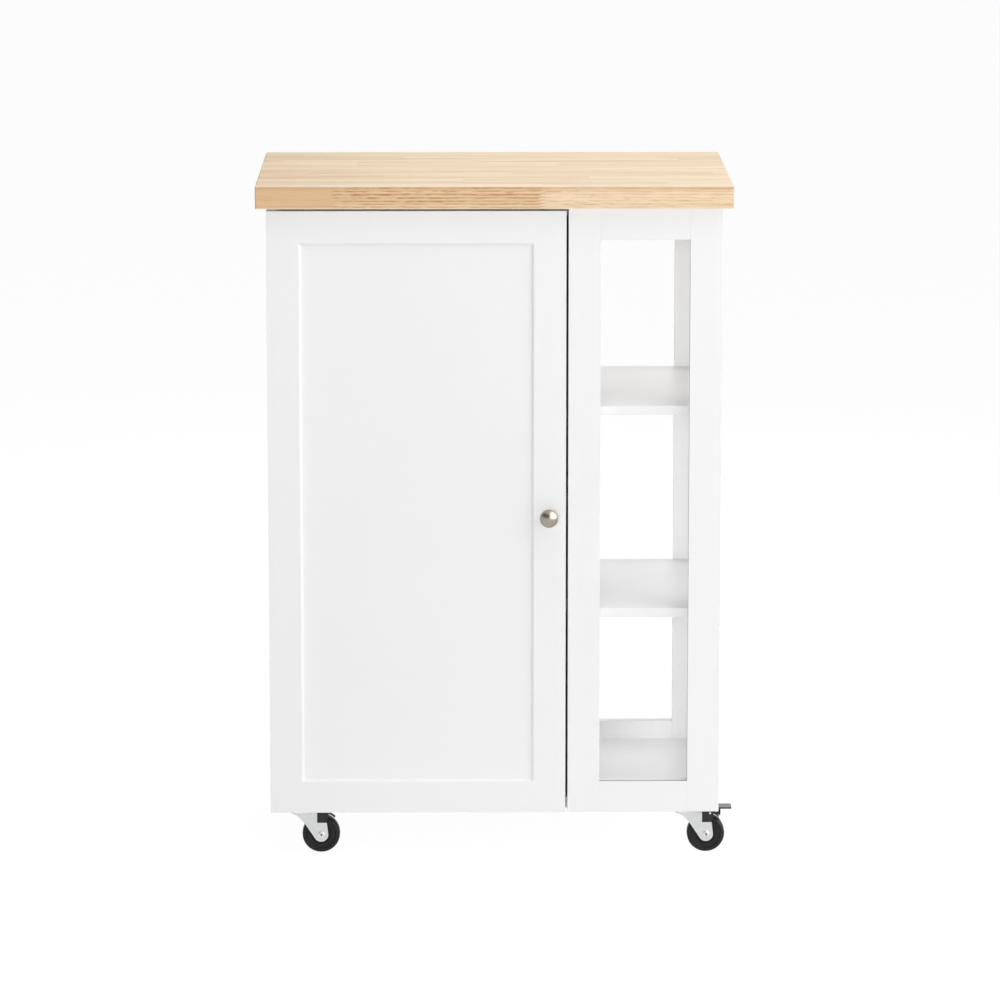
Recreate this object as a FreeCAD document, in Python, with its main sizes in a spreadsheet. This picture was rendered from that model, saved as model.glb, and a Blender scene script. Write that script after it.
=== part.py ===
# Kitchen cart on four casters: a cupboard with one door beside an open bay with shelves,
# under a solid wood worktop. Millimetres, floor at Z 0, front towards -Y, right end towards +X.
# The origin lies on the floor under the middle of the whole cart.
import FreeCAD, Part
import math
import os
import re

from FreeCAD import Rotation, Vector
from Sketcher import Constraint

os.makedirs("parts", exist_ok=True)
doc = FreeCAD.newDocument("kitchen_cart")

# Driving dimensions, one cell each
SIZES = {
    # Worktop
    "cart_height": 900,
    "worktop_width": 620,
    "worktop_depth": 400,
    "worktop_thickness": 30,
    "worktop_edge_round": 1.5,
    "front_overhang": 14,
    "back_overhang": 12,
    "side_overhang": 13.5,
    # Carcass and frames
    "front_reach": 179,
    "board": 15,
    "bay_width": 200,
    "frame_width": 42,
    "back_frame_width": 46.5,
    "rail_width": 42,
    "back_board": 5,
    "groove_depth": 6.5,
    "groove_slack": 0.1,
    "stretcher_width": 80,
    "stretcher_setback": 20,
    "worktop_screw_inset": 70,
    "worktop_screw_length": 36,
    # Shelves
    "open_shelf_board": 12,
    "upper_open_shelf_share": 0.66624,
    "lower_open_shelf_share": 0.3236,
    "cabinet_shelf_front": 20,
    "cabinet_shelf_back": 3,
    "shelf_end_gap": 1,
    "upper_cabinet_shelf_share": 0.65736,
    "lower_cabinet_shelf_share": 0.33376,
    "pin_radius": 2.5,
    "pin_fit": 0.05,
    "pin_reach": 8,
    "pin_hole_depth": 9,
    "pin_pitch": 32,
    "pin_inset": 40,
    # Door
    "door_thickness": 15,
    "door_back_gap": 2.5,
    "door_side_gap": 3,
    "door_top_gap": 4,
    "door_border": 42,
    "door_recess": 4,
    "door_recess_bevel": 3,
    "door_hinge_edge_round": 2.5,
    # Knob and its screw
    "knob_edge_inset": 22.5,
    "knob_rise": 398.5,
    "knob_reach": 26,
    "knob_radius": 12,
    "knob_foot_radius": 7,
    "knob_neck_radius": 4.5,
    "knob_foot_thickness": 1.8,
    "knob_rim": 3,
    "knob_thread_radius": 2,
    "knob_thread_depth": 12,
    # Hinges
    "hinge_inset": 100,
    "pivot_inset": 8,
    "pivot_forward": 11.5,
    "cup_radius": 17.5,
    "cup_depth": 12.5,
    "cup_edge": 3,
    "cup_sheet": 1,
    "cup_fit": 0.05,
    "flange_width": 16,
    "flange_sheet": 0.8,
    "flange_screw_offset": 6,
    "flange_screw_spacing": 45,
    "hinge_pin_radius": 1,
    "hinge_pin_fit": 0.05,
    "hinge_pin_length": 23,
    "knuckle_radius": 2.1,
    "arm_width": 12,
    "arm_sheet": 2,
    "arm_length": 50,
    "hinge_plate_setback": 5,
    "hinge_plate_rise": 4,
    "hinge_wing_sheet": 2,
    "hinge_wing_length": 18,
    "hinge_wing_setback": 22,
    "hinge_wing_height": 46,
    "hinge_screw_spacing": 32,
    # Small wood screws of hinges, catch and casters
    "screw_radius": 1.7,
    "screw_fit": 0.05,
    "screw_length": 10,
    "screw_head_radius": 3.4,
    "screw_head": 1.6,
    # Magnetic catch
    "catch_height": 46,
    "catch_width": 12,
    "catch_length": 34,
    "catch_share": 0.50508,
    "catch_block": 24,
    "catch_ear": 2,
    "catch_screw_spacing": 36,
    "strike_inset": 1,
    "strike_sheet": 1.2,
    "strike_gap": 0.3,
    "strike_width": 12,
    "strike_height": 30,
    # Casters
    "caster_inset": 40,
    "caster_setback": 50,
    "wheel_diameter": 50,
    "wheel_width": 18,
    "wheel_round": 2.5,
    "wheel_recess": 2,
    "wheel_rim_share": 0.78,
    "wheel_hub_share": 0.36,
    "hub_gap": 0.3,
    "trail": 25.5,
    "head_gap": 5.5,
    "fork_sheet": 1.5,
    "fork_gap": 2.5,
    "fork_bend": 3,
    "dish_radius": 20.2,
    "dish_height": 6.5,
    "swivel_gap": 1.5,
    "plate_sheet": 2,
    "plate_size": 48,
    "plate_corner": 4,
    "plate_hole_spacing": 36,
    "race_depth": 4,
    "race_radius": 17,
    "race_gap": 0.4,
    "kingpin_radius": 4,
    "kingpin_fit": 0.06,
    "kingpin_head_radius": 7.5,
    "kingpin_head": 2,
    "washer_radius": 8,
    "axle_radius": 3,
    "axle_fit": 0.06,
    "rivet_head_radius": 4.5,
    "rivet_head": 1.4,
    # Brake housing over each wheel, and the brake pedals of one front and one back caster
    "hood_clear": 0.1,
    "hood_top": 1.5,
    "hood_gap": 0.8,
    "hood_side_gap": 0.6,
    "hood_sheet": 1.5,
    "hood_slot_width": 11,
    "lip_start_angle": 70,
    "lip_end_angle": 47,
    "pedal_pin_x": 5.5,
    "pedal_pin_rise": 3.5,
    "pedal_pin_radius": 1.5,
    "pedal_barrel_radius": 3,
    "pedal_width": 22,
    "pedal_arm_width": 10,
    "pedal_sheet": 2.3,
    "pedal_corner": 2,
    # How far a cutting tool runs past what it cuts
    "overrun": 1,
}

sheet = doc.addObject("Spreadsheet::Sheet", "Sizes")
for row, (alias, value) in enumerate(SIZES.items(), start=1):
    sheet.set(f"A{row}", alias)
    sheet.set(f"B{row}", str(value))
    sheet.setAlias(f"B{row}", alias)
doc.recompute()


def size(alias):
    """The value of one cell of the sheet."""
    return float(sheet.get(alias))


def formula(text):
    """Expression text in which each plain word names a cell of the sheet."""
    return re.sub(r"[a-z]\w+", lambda word: "Sizes." + word[0], text)


def bind(piece, name, text):
    piece.setExpression(name, formula(text))


def place(piece, x, y, z):
    for axis, text in zip("xyz", (x, y, z)):
        bind(piece, f"Placement.Base.{axis}", text)


def around(middle, width):
    """The two limits of something that lies half on each side of a middle."""
    return (f"({middle} - {width} / 2)", f"({middle} + {width} / 2)")


# Planes that several pieces share, written as formulas of the sheet's cells
RIGHT = "(worktop_width / 2 - side_overhang)"
LEFT = f"(-{RIGHT})"
LEFT_IN = f"({LEFT} + board)"
BAY = f"({RIGHT} - bay_width)"
BAY_IN = f"({BAY} + board)"
RIGHT_IN = f"({RIGHT} - board)"
FRONT = "(-front_reach)"
CARCASS_FRONT = "(board - front_reach)"
BACK = f"({FRONT} + worktop_depth - front_overhang - back_overhang)"
CARCASS_BACK = f"({BACK} - board)"
BASE = "(wheel_diameter + head_gap + fork_sheet + dish_height + swivel_gap)"
PLATE_TOP = f"({BASE} + plate_sheet)"
FLOOR = f"({PLATE_TOP} + board)"
TOP = "(cart_height - worktop_thickness)"


def share_of_height(share):
    """A height that lies at this share of the room between floor and worktop."""
    return f"({FLOOR} + {share} * ({TOP} - {FLOOR}))"


ALONG = {
    "+X": (1, 0, 0),
    "-X": (-1, 0, 0),
    "+Y": (0, 1, 0),
    "-Y": (0, -1, 0),
    "+Z": (0, 0, 1),
    "-Z": (0, 0, -1),
}
SCREW_SIDES = 8
nodes = []


def node(piece, label):
    """Names a finished piece and puts it on the list of those that are written."""
    piece.Label = label
    nodes.append(piece)
    return piece


def board(name, x, y, z):
    """A flat board between a low and a high limit on each axis."""
    piece = doc.addObject("Part::Box", name)
    for side, (low, high) in zip(("Length", "Width", "Height"), (x, y, z)):
        bind(piece, side, f"{high} - ({low})")
    place(piece, x[0], y[0], z[0])
    return piece


def rod(name, along, radius, length, x, y, z):
    """A round bar that starts at a point and runs along an axis."""
    piece = doc.addObject("Part::Cylinder", name)
    bind(piece, "Radius", radius)
    bind(piece, "Height", length)
    piece.Placement.Rotation = Rotation(Vector(*ALONG["+Z"]), Vector(*ALONG[along]))
    place(piece, x, y, z)
    return piece


def group(name, pieces):
    """Separate solids that share one node."""
    together = doc.addObject("Part::Compound", name)
    together.Links = pieces
    return together


def join(name, pieces):
    fused = doc.addObject("Part::MultiFuse", name)
    fused.Shapes = pieces
    return fused


def cut(name, base, tools):
    """A piece with holes or slots: each tool has to take some of it away."""
    tool = tools[0] if len(tools) == 1 else join(name + "_tools", tools)
    result = doc.addObject("Part::Cut", name)
    result.Base = base
    result.Tool = tool
    doc.recompute()
    if not result.Shape.Volume < base.Shape.Volume:
        raise ValueError(f"{name}: the cut takes nothing away")
    return result


def facet_bar(name, along, radius, length, x, y, z):
    """A bar with flat sides. Small screws and their pilot holes are drawn so, which keeps them light."""
    piece = doc.addObject("Part::Prism", name)
    piece.Polygon = SCREW_SIDES
    bind(piece, "Circumradius", radius)
    bind(piece, "Height", length)
    piece.Placement.Rotation = Rotation(Vector(*ALONG["+Z"]), Vector(*ALONG[along]))
    place(piece, x, y, z)
    return piece


def screw(name, along, x, y, z, length="screw_length"):
    """A small wood screw: its shank runs along the axis, its head the other way."""
    back = along.translate(str.maketrans("+-", "-+"))
    shank = facet_bar(name + "_shank", along, "screw_radius", length, x, y, z)
    head = facet_bar(name + "_head", back, "screw_head_radius", "screw_head", x, y, z)
    return join(name, [shank, head])


def screw_hole(name, along, x, y, z, length="screw_length"):
    """A pilot hole for that screw, a little wider and deeper than its shank."""
    start = [x, y, z]
    axis = "XYZ".index(along[1])
    start[axis] = f"{start[axis]} - ({along[0]}overrun)"
    depth = f"{length} + screw_fit + overrun"
    return facet_bar(name, along, "screw_radius + 2 * screw_fit", depth, *start)


# Sketches of the pieces that are drawn as outlines. New geometry starts at one nominal size,
# and the dimensions that are bound to the sheet then move it into place.
NOMINAL = size("board")
PICK = size("overrun") / 2


def new_body(name):
    return doc.addObject("PartDesign::Body", name)


def new_sketch(body, plane, name):
    """A sketch on one of its body's own origin planes."""
    sketch = body.newObject("Sketcher::SketchObject", name)
    origin_plane = [item for item in body.Origin.OriginFeatures if item.Role == plane][0]
    sketch.AttachmentSupport = [(origin_plane, "")]
    sketch.MapMode = "FlatFace"
    return sketch


def line(start, end):
    return Part.LineSegment(Vector(*start, 0), Vector(*end, 0))


def arc(start, middle, end):
    return Part.Arc(Vector(*start, 0), Vector(*middle, 0), Vector(*end, 0))


def polygon(points):
    """Straight lines round a closed outline."""
    return [line(here, there) for here, there in zip(points, points[1:] + points[:1])]


def measure(sketch, kind, points, text):
    """A dimension in a sketch, bound to the sheet. From the origin it may also be zero."""
    if text == "0":
        sketch.addConstraint(Constraint("PointOnObject", *points[2:], -2 if kind == "DistanceX" else -1))
        return
    index = sketch.addConstraint(Constraint(kind, *points, NOMINAL))
    bind(sketch, f"Constraints[{index}]", text)


def box_outline(low, high):
    """Four sides of an upright square between two limits, which hold for both axes."""
    return polygon([(low, low), (high, low), (high, high), (low, high)])


def upright_sides(sketch, low, high):
    """Four joined sides, level and plumb, still to be measured. Returns the number of the first."""
    first = sketch.GeometryCount
    sketch.addGeometry(box_outline(low, high), False)
    for side, direction in enumerate(("Horizontal", "Vertical", "Horizontal", "Vertical")):
        sketch.addConstraint(Constraint("Coincident", first + side, 2, first + (side + 1) % 4, 1))
        sketch.addConstraint(Constraint(direction, first + side))
    return first


def rectangle(sketch, left, low, width, height):
    """A rectangle whose place and sides are bound to the sheet."""
    first = upright_sides(sketch, NOMINAL, 2 * NOMINAL)
    measures = (
        ("DistanceX", (-1, 1, first, 1), left),
        ("DistanceY", (-1, 1, first, 1), low),
        ("DistanceX", (first, 1, first, 2), width),
        ("DistanceY", (first + 1, 1, first + 1, 2), height),
    )
    for kind, points, text in measures:
        measure(sketch, kind, points, text)


def square(sketch, width):
    """A square round the sketch's own origin, its side bound to the sheet."""
    first = upright_sides(sketch, -NOMINAL, NOMINAL)
    sketch.addConstraint(Constraint("Symmetric", first, 1, first + 2, 1, -1, 1))
    measure(sketch, "DistanceX", (first, 1, first, 2), width)
    measure(sketch, "DistanceY", (first + 1, 1, first + 1, 2), width)


def circle(sketch, x, y, radius):
    """A circle whose centre and radius are bound to the sheet."""
    start = Part.Circle(Vector(NOMINAL, NOMINAL, 0), Vector(*ALONG["+Z"]), NOMINAL)
    edge = sketch.addGeometry(start, False)
    measure(sketch, "DistanceX", (-1, 1, edge, 3), x)
    measure(sketch, "DistanceY", (-1, 1, edge, 3), y)
    measure(sketch, "Radius", (edge,), radius)


def pad(body, sketch, name, length, symmetric=False):
    feature = body.newObject("PartDesign::Pad", name)
    feature.Profile = sketch
    feature.Midplane = symmetric
    bind(feature, "Length", length)
    doc.recompute()
    return feature


def pocket(body, sketch, name, depth, reverse=False, symmetric=False):
    """A cut into the body, stopped if it takes nothing away."""
    before = body.Shape.Volume
    feature = body.newObject("PartDesign::Pocket", name)
    feature.Profile = sketch
    feature.Reversed = reverse
    feature.Midplane = symmetric
    bind(feature, "Length", depth)
    doc.recompute()
    if not body.Shape.Volume < before:
        raise ValueError(f"{name}: the pocket takes nothing away")
    return feature


def revolve(body, sketch, name, axis="H_Axis"):
    feature = body.newObject("PartDesign::Revolution", name)
    feature.Profile = sketch
    feature.ReferenceAxis = (sketch, [axis])
    doc.recompute()
    return feature


def edges_at(shape, wanted):
    """Names of the edges whose middle point passes the test."""
    found = []
    for number, edge in enumerate(shape.Edges, start=1):
        if wanted(edge.BoundBox.Center, edge):
            found.append(f"Edge{number}")
    return found


def round_edges(body, base, name, kind, dimension, text, edges):
    feature = body.newObject(kind, name)
    feature.Base = (base, edges)
    bind(feature, dimension, text)
    doc.recompute()
    return feature


# Stretchers under the worktop, and the screws that go up through them
STRETCHER_LOW = f"({TOP} - board)"
BACK_BOARD_FRONT = f"({CARCASS_BACK} - back_board)"
FRONT_STRETCHER_Y = (
    f"({CARCASS_FRONT} + stretcher_setback)",
    f"({CARCASS_FRONT} + stretcher_setback + stretcher_width)",
)
REAR_STRETCHER_Y = (f"({BACK_BOARD_FRONT} - stretcher_width)", BACK_BOARD_FRONT)
WORKTOP_SCREW_PLACES = [
    (x, f"(({low} + {high}) / 2)")
    for low, high in (FRONT_STRETCHER_Y, REAR_STRETCHER_Y)
    for x in (f"({LEFT_IN} + worktop_screw_inset)", f"({BAY} - worktop_screw_inset)")
]


# Worktop: one slab with softened edges on all sides of its top and its corners
def make_worktop():
    body = new_body("worktop_body")
    outline = new_sketch(body, "XY_Plane", "worktop_outline")
    rectangle(outline, "0", "0", "worktop_width", "worktop_depth")
    slab = pad(body, outline, "worktop_slab", "worktop_thickness")
    sharp = edges_at(slab.Shape, lambda middle, edge: middle.z > PICK)
    round_edges(body, slab, "worktop_arris", "PartDesign::Fillet", "Radius", "worktop_edge_round", sharp)
    place(body, "-worktop_width / 2", f"{FRONT} - front_overhang", TOP)
    pilots = []
    for x, y in WORKTOP_SCREW_PLACES:
        pilots.append(screw_hole("worktop_pilot", "+Z", x, y, STRETCHER_LOW, "worktop_screw_length"))
    node(cut("worktop_drilled", body, pilots), "worktop")


# Carcass boards
SHELF_ENDS = (f"({LEFT_IN} + shelf_end_gap)", f"({BAY} - shelf_end_gap)")
CABINET_SHELF_TOPS = (
    share_of_height("upper_cabinet_shelf_share"),
    share_of_height("lower_cabinet_shelf_share"),
)
OPEN_SHELF_TOPS = (
    share_of_height("upper_open_shelf_share"),
    share_of_height("lower_open_shelf_share"),
)
PIN_ROWS = (f"({CARCASS_FRONT} + pin_inset)", f"({BACK_BOARD_FRONT} - pin_inset)")
HINGE_HEIGHTS = (f"({BASE} + hinge_inset)", f"({TOP} - door_top_gap - hinge_inset)")


def pin_height(shelf_top, step=0):
    """Centre height of the pins under a cabinet shelf, or of a spare hole some steps away."""
    return f"({shelf_top} - board - pin_fit - pin_radius + {step} * pin_pitch)"


def pin_holes(name, along, face):
    """Short rows of holes round each cabinet shelf, so that it can be set higher or lower."""
    holes = []
    for shelf_top in CABINET_SHELF_TOPS:
        for y in PIN_ROWS:
            for step in (0, 1):
                start = (f"{face} - ({along[0]}overrun)", y, pin_height(shelf_top, step))
                holes.append(rod(name, along, "pin_radius + pin_fit", "pin_hole_depth + overrun", *start))
    return holes


def back_groove(name, low_x, high_x):
    """The groove that holds one edge of the back board."""
    y = (f"({BACK_BOARD_FRONT} - groove_slack)", f"({CARCASS_BACK} + groove_slack)")
    return board(name, (low_x, high_x), y, (f"({FLOOR} - groove_slack)", f"({TOP} + overrun)"))


def make_side_panel():
    slab = board("side_slab", (LEFT, LEFT_IN), (CARCASS_FRONT, BACK), (BASE, TOP))
    tools = pin_holes("side_pin_hole", "-X", LEFT_IN)
    tools.append(back_groove("side_groove", f"({LEFT_IN} - groove_depth)", f"({LEFT_IN} + overrun)"))
    for height in HINGE_HEIGHTS:
        for y, z in hinge_screw_places(height):
            tools.append(screw_hole("hinge_pilot", "-X", LEFT_IN, y, z))
    node(cut("side_panel", slab, tools), "left_side_panel")


def make_partition():
    slab = board("partition_slab", (BAY, BAY_IN), (CARCASS_FRONT, CARCASS_BACK), (FLOOR, TOP))
    tools = pin_holes("partition_pin_hole", "+X", BAY)
    tools.append(back_groove("partition_groove", f"({BAY} - overrun)", f"({BAY} + groove_depth)"))
    for z in CATCH_SCREW_HEIGHTS:
        tools.append(screw_hole("catch_pilot", "+X", BAY, CATCH_MIDDLE, z))
    node(cut("partition", slab, tools), "partition_panel")


def make_bottom_panel():
    slab = board("bottom_slab", (LEFT_IN, RIGHT_IN), (CARCASS_FRONT, CARCASS_BACK), (PLATE_TOP, FLOOR))
    tools = []
    for caster_x, caster_y in CASTERS.values():
        for x, y in plate_screw_places(caster_x, caster_y):
            tools.append(screw_hole("caster_pilot", "+Z", x, y, PLATE_TOP))
    node(cut("bottom", slab, tools), "bottom_panel")


def make_carcass():
    """Back board, the two stretchers under the worktop and the shelves."""
    in_grooves = (f"({LEFT_IN} - groove_depth + groove_slack)", f"({BAY} + groove_depth - groove_slack)")
    back = board("back", in_grooves, (BACK_BOARD_FRONT, CARCASS_BACK), (FLOOR, TOP))
    node(back, "back_panel")
    screws = []
    pilots = []
    for x, y in WORKTOP_SCREW_PLACES:
        screws.append(screw("worktop_screw", "+Z", x, y, STRETCHER_LOW, "worktop_screw_length"))
        pilots.append(screw_hole("stretcher_hole", "+Z", x, y, STRETCHER_LOW, "worktop_screw_length"))
    pairs = (
        ("front_stretcher", FRONT_STRETCHER_Y, pilots[:2]),
        ("rear_stretcher", REAR_STRETCHER_Y, pilots[2:]),
    )
    for label, y, holes in pairs:
        blank = board(label + "_blank", (LEFT_IN, BAY), y, (STRETCHER_LOW, TOP))
        node(cut(label + "_drilled", blank, holes), label)
    node(group("worktop_screw_set", screws), "worktop_screws")
    for label, top in zip(("upper_open_shelf", "lower_open_shelf"), OPEN_SHELF_TOPS):
        height = (f"({top} - open_shelf_board)", top)
        node(board(label, (BAY_IN, RIGHT_IN), (CARCASS_FRONT, CARCASS_BACK), height), label)
    for label, top in zip(("upper_cabinet_shelf", "lower_cabinet_shelf"), CABINET_SHELF_TOPS):
        depth = (f"({CARCASS_FRONT} + cabinet_shelf_front)", f"({BACK_BOARD_FRONT} - cabinet_shelf_back)")
        node(board(label, SHELF_ENDS, depth, (f"({top} - board)", top)), label)


def make_shelf_pins():
    pins = []
    for shelf_top in CABINET_SHELF_TOPS:
        for y in PIN_ROWS:
            z = pin_height(shelf_top)
            for along, face in (("-X", LEFT_IN), ("+X", BAY)):
                start = f"{face} - ({along[0]}pin_reach)"
                pins.append(rod("shelf_pin", along, "pin_radius", "2 * pin_reach", start, y, z))
    node(group("pins", pins), "shelf_pins")


def make_frame(name, upright, level, stile_spans, rail_span):
    """Two stiles and two rails between them, butted, each pair a node."""
    stiles = []
    rails = []
    for span in stile_spans:
        stiles.append(board(name + "_stile", *upright(span), (BASE, TOP)))
    for low, high in ((BASE, f"({BASE} + rail_width)"), (f"({TOP} - rail_width)", TOP)):
        rails.append(board(name + "_rail", *level(rail_span), (low, high)))
    node(group(name + "_stile_pair", stiles), name + "_stiles")
    node(group(name + "_rail_pair", rails), name + "_rails")


def along_end(span):
    """Limits in X and Y of a board that lies in the right end's plane."""
    return ((RIGHT_IN, RIGHT), span)


def make_frames():
    """The open bay's frames: front, back and right end."""
    for name, y, width in (
        ("front", (FRONT, CARCASS_FRONT), "frame_width"),
        ("back", (CARCASS_BACK, BACK), "back_frame_width"),
    ):
        across = ((BAY, f"({BAY} + {width})"), (f"({RIGHT} - {width})", RIGHT))
        between = (across[0][1], across[1][0])
        make_frame(name, lambda span, y=y: (span, y), lambda span, y=y: (span, y), across, between)
    front_end = (CARCASS_FRONT, f"({CARCASS_FRONT} + frame_width)")
    back_end = (f"({CARCASS_BACK} - frame_width)", CARCASS_BACK)
    make_frame("end", along_end, along_end, (front_end, back_end), (front_end[1], back_end[0]))


# Door: a slab with a recessed field, drilled for its hinge cups and its knob.
# Its body starts at the back, left, low corner, so that its sketches lie on its back face.
DOOR_BACK = f"({CARCASS_FRONT} - door_back_gap)"
DOOR_WIDTH = f"({BAY} - {LEFT} - door_side_gap)"
DOOR_HEIGHT = f"({TOP} - door_top_gap - {BASE})"
KNOB_X = f"({LEFT} + {DOOR_WIDTH} - knob_edge_inset)"
KNOB_Z = f"({BASE} + knob_rise)"
CUP_X = "(cup_edge + cup_radius)"
DOOR_RIGHT = f"({LEFT} + {DOOR_WIDTH})"
DOOR_FRONT = f"({DOOR_BACK} - door_thickness)"
CUP_CENTRE = f"({LEFT} + {CUP_X})"
FLANGE_CENTRE = f"({CUP_CENTRE} + flange_screw_offset)"


def make_door():
    body = new_body("door")
    outline = new_sketch(body, "XZ_Plane", "door_outline")
    rectangle(outline, "0", "0", DOOR_WIDTH, DOOR_HEIGHT)
    slab = pad(body, outline, "door_slab", "door_thickness")
    back_edge = edges_at(slab.Shape, lambda middle, edge: abs(middle.x) < PICK and abs(middle.y) < PICK)
    edge_round = "door_hinge_edge_round"
    round_edges(body, slab, "hinge_edge", "PartDesign::Fillet", "Radius", edge_round, back_edge)
    field = new_sketch(body, "XZ_Plane", "door_field")
    bind(field, "AttachmentOffset.Base.z", "door_thickness")
    border = "(door_border + door_recess_bevel)"
    rectangle(field, border, border, f"{DOOR_WIDTH} - 2 * {border}", f"{DOOR_HEIGHT} - 2 * {border}")
    recess = pocket(body, field, "door_recess_floor", "door_recess")
    front = size("door_thickness")
    margin = size("door_border")
    far = recess.Shape.BoundBox
    rim = edges_at(
        recess.Shape,
        lambda middle, edge: abs(middle.y + front) < PICK
        and margin < middle.x < far.XMax - margin
        and margin < middle.z < far.ZMax - margin,
    )
    round_edges(body, recess, "door_bevel", "PartDesign::Chamfer", "Size", "door_recess_bevel", rim)
    cups = new_sketch(body, "XZ_Plane", "cup_bores")
    for height in HINGE_HEIGHTS:
        circle(cups, CUP_X, f"{height} - {BASE}", "cup_radius + cup_fit")
    pocket(body, cups, "cup_pockets", "cup_depth + cup_fit", reverse=True)
    knob_hole = new_sketch(body, "XZ_Plane", "knob_hole")
    circle(knob_hole, f"{DOOR_WIDTH} - knob_edge_inset", "knob_rise", "knob_thread_radius + screw_fit")
    pocket(body, knob_hole, "knob_bore", "2 * door_thickness", reverse=True)
    place(body, LEFT, DOOR_BACK, BASE)
    pilots = []
    for height in HINGE_HEIGHTS:
        for z in flange_screw_heights(height):
            pilots.append(screw_hole("cup_pilot", "-Y", FLANGE_CENTRE, DOOR_BACK, z))
    node(cut("door_drilled", body, pilots), "door_panel")


# Knob: a turned knob with a waisted neck and a domed face, screwed on from inside the door
DOME_BANDS = 3
NECK_END_SHARE = 0.34
FLARE_SHARE = 0.56
HEAD_SHARE = 0.62
FLARE_WIDTH_SHARE = 0.75


def make_knob():
    reach, radius = size("knob_reach"), size("knob_radius")
    foot, foot_end = size("knob_foot_radius"), size("knob_foot_thickness")
    neck = size("knob_neck_radius")
    bore = size("knob_thread_radius") + size("screw_fit")
    flare = (-FLARE_SHARE * reach, neck + FLARE_WIDTH_SHARE * (radius - neck))
    rim_back = (-HEAD_SHARE * reach, radius)
    rim_front = (-HEAD_SHARE * reach - size("knob_rim"), radius)
    rise = reach + rim_front[0]
    dome = (radius**2 + rise**2) / (2 * rise)
    bands = [radius * step / DOME_BANDS for step in range(DOME_BANDS - 1, -1, -1)]
    face = [(dome - reach - math.sqrt(dome**2 - across**2), across) for across in bands]
    depth = -size("knob_thread_depth")
    back = [(0, foot), (-foot_end, foot), (-foot_end, neck), (-NECK_END_SHARE * reach, neck), flare, rim_back]
    points = [(0, bore)] + back + [rim_front] + face + [(depth, 0), (depth, bore)]
    body = new_body("knob")
    sketch = new_sketch(body, "YZ_Plane", "knob_profile")
    sketch.addGeometry(polygon(points), False)
    revolve(body, sketch, "knob_turned")
    place(body, KNOB_X, DOOR_FRONT, KNOB_Z)
    node(body, "knob")


def make_knob_screw():
    length = "door_thickness + knob_thread_depth - overrun"
    shank = rod("knob_screw_shank", "-Y", "knob_thread_radius", length, KNOB_X, DOOR_BACK, KNOB_Z)
    head = rod("knob_screw_head", "+Y", "screw_head_radius", "screw_head", KNOB_X, DOOR_BACK, KNOB_Z)
    node(join("knob_bolt", [shank, head]), "knob_screw")


# Hinges: a cup let into the door, and an arm on a plate on the side panel, which meet at one pin
PIVOT_X = f"({LEFT} + pivot_inset)"
PIVOT_Y = f"({CARCASS_FRONT} - pivot_forward)"
ARM_X = f"({LEFT_IN} + hinge_plate_rise)"
ARM_END = f"({CARCASS_FRONT} + arm_length)"
WING_FRONT = f"({CARCASS_FRONT} + hinge_wing_setback)"
FLANGE_BACK = f"({DOOR_BACK} + flange_sheet)"


def hinge_screw_places(height):
    """Where the two screws of a hinge plate stand: their Y and Z."""
    y = f"({WING_FRONT} + hinge_wing_length / 2)"
    return [(y, z) for z in around(height, "hinge_screw_spacing")]


def flange_screw_heights(height):
    return around(height, "flange_screw_spacing")


def hinge_pin_rod(name, radius, height):
    low = around(height, "hinge_pin_length")[0]
    return rod(name, "+Z", radius, "hinge_pin_length", PIVOT_X, PIVOT_Y, low)


def make_hinge_cup(height):
    shell = rod("cup_shell", "-Y", "cup_radius", "cup_depth", CUP_CENTRE, DOOR_BACK, height)
    x = FLANGE_CENTRE
    screw_heights = flange_screw_heights(height)
    flange = [board("cup_flange", around(x, "flange_width"), (DOOR_BACK, FLANGE_BACK), screw_heights)]
    for z in screw_heights:
        flange.append(rod("flange_end", "+Y", "flange_width / 2", "flange_sheet", x, DOOR_BACK, z))
    mouth = f"({DOOR_BACK} + overrun)"
    depth = "cup_depth - cup_sheet + overrun"
    tools = [rod("cup_hollow", "-Y", "cup_radius - cup_sheet", depth, CUP_CENTRE, mouth, height)]
    tools.append(hinge_pin_rod("cup_pin_hole", "hinge_pin_radius + hinge_pin_fit", height))
    for z in screw_heights:
        tools.append(screw_hole("flange_hole", "-Y", x, FLANGE_BACK, z))
    return cut("hinge_cup", join("cup_and_flange", [shell] + flange), tools)


def make_hinge_arm(height):
    """Knuckle round the pin, a web across the cup and a long leg back along the hinge plate."""
    span = around(height, "arm_width")
    knuckle = rod("arm_knuckle", "+Z", "knuckle_radius", "arm_width", PIVOT_X, PIVOT_Y, span[0])
    web_y = around(PIVOT_Y, "arm_sheet")
    web = board("arm_web", (PIVOT_X, f"({ARM_X} + arm_sheet)"), web_y, span)
    leg = board("arm_leg", (ARM_X, f"({ARM_X} + arm_sheet)"), (web_y[0], ARM_END), span)
    bore = hinge_pin_rod("knuckle_bore", "hinge_pin_radius + hinge_pin_fit", height)
    return cut("hinge_arm", join("arm_blank", [knuckle, web, leg]), [bore])


def make_hinge_plate(height):
    spine_y = (f"({CARCASS_FRONT} + hinge_plate_setback)", ARM_END)
    spine = board("plate_spine", (LEFT_IN, ARM_X), spine_y, around(height, "arm_width"))
    wing_x = (LEFT_IN, f"({LEFT_IN} + hinge_wing_sheet)")
    wing_y = (WING_FRONT, f"({WING_FRONT} + hinge_wing_length)")
    wing = board("plate_wing", wing_x, wing_y, around(height, "hinge_wing_height"))
    holes = []
    for y, z in hinge_screw_places(height):
        holes.append(screw_hole("wing_hole", "-X", wing_x[1], y, z))
    return cut("hinge_plate", join("plate_blank", [spine, wing]), holes)


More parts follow.
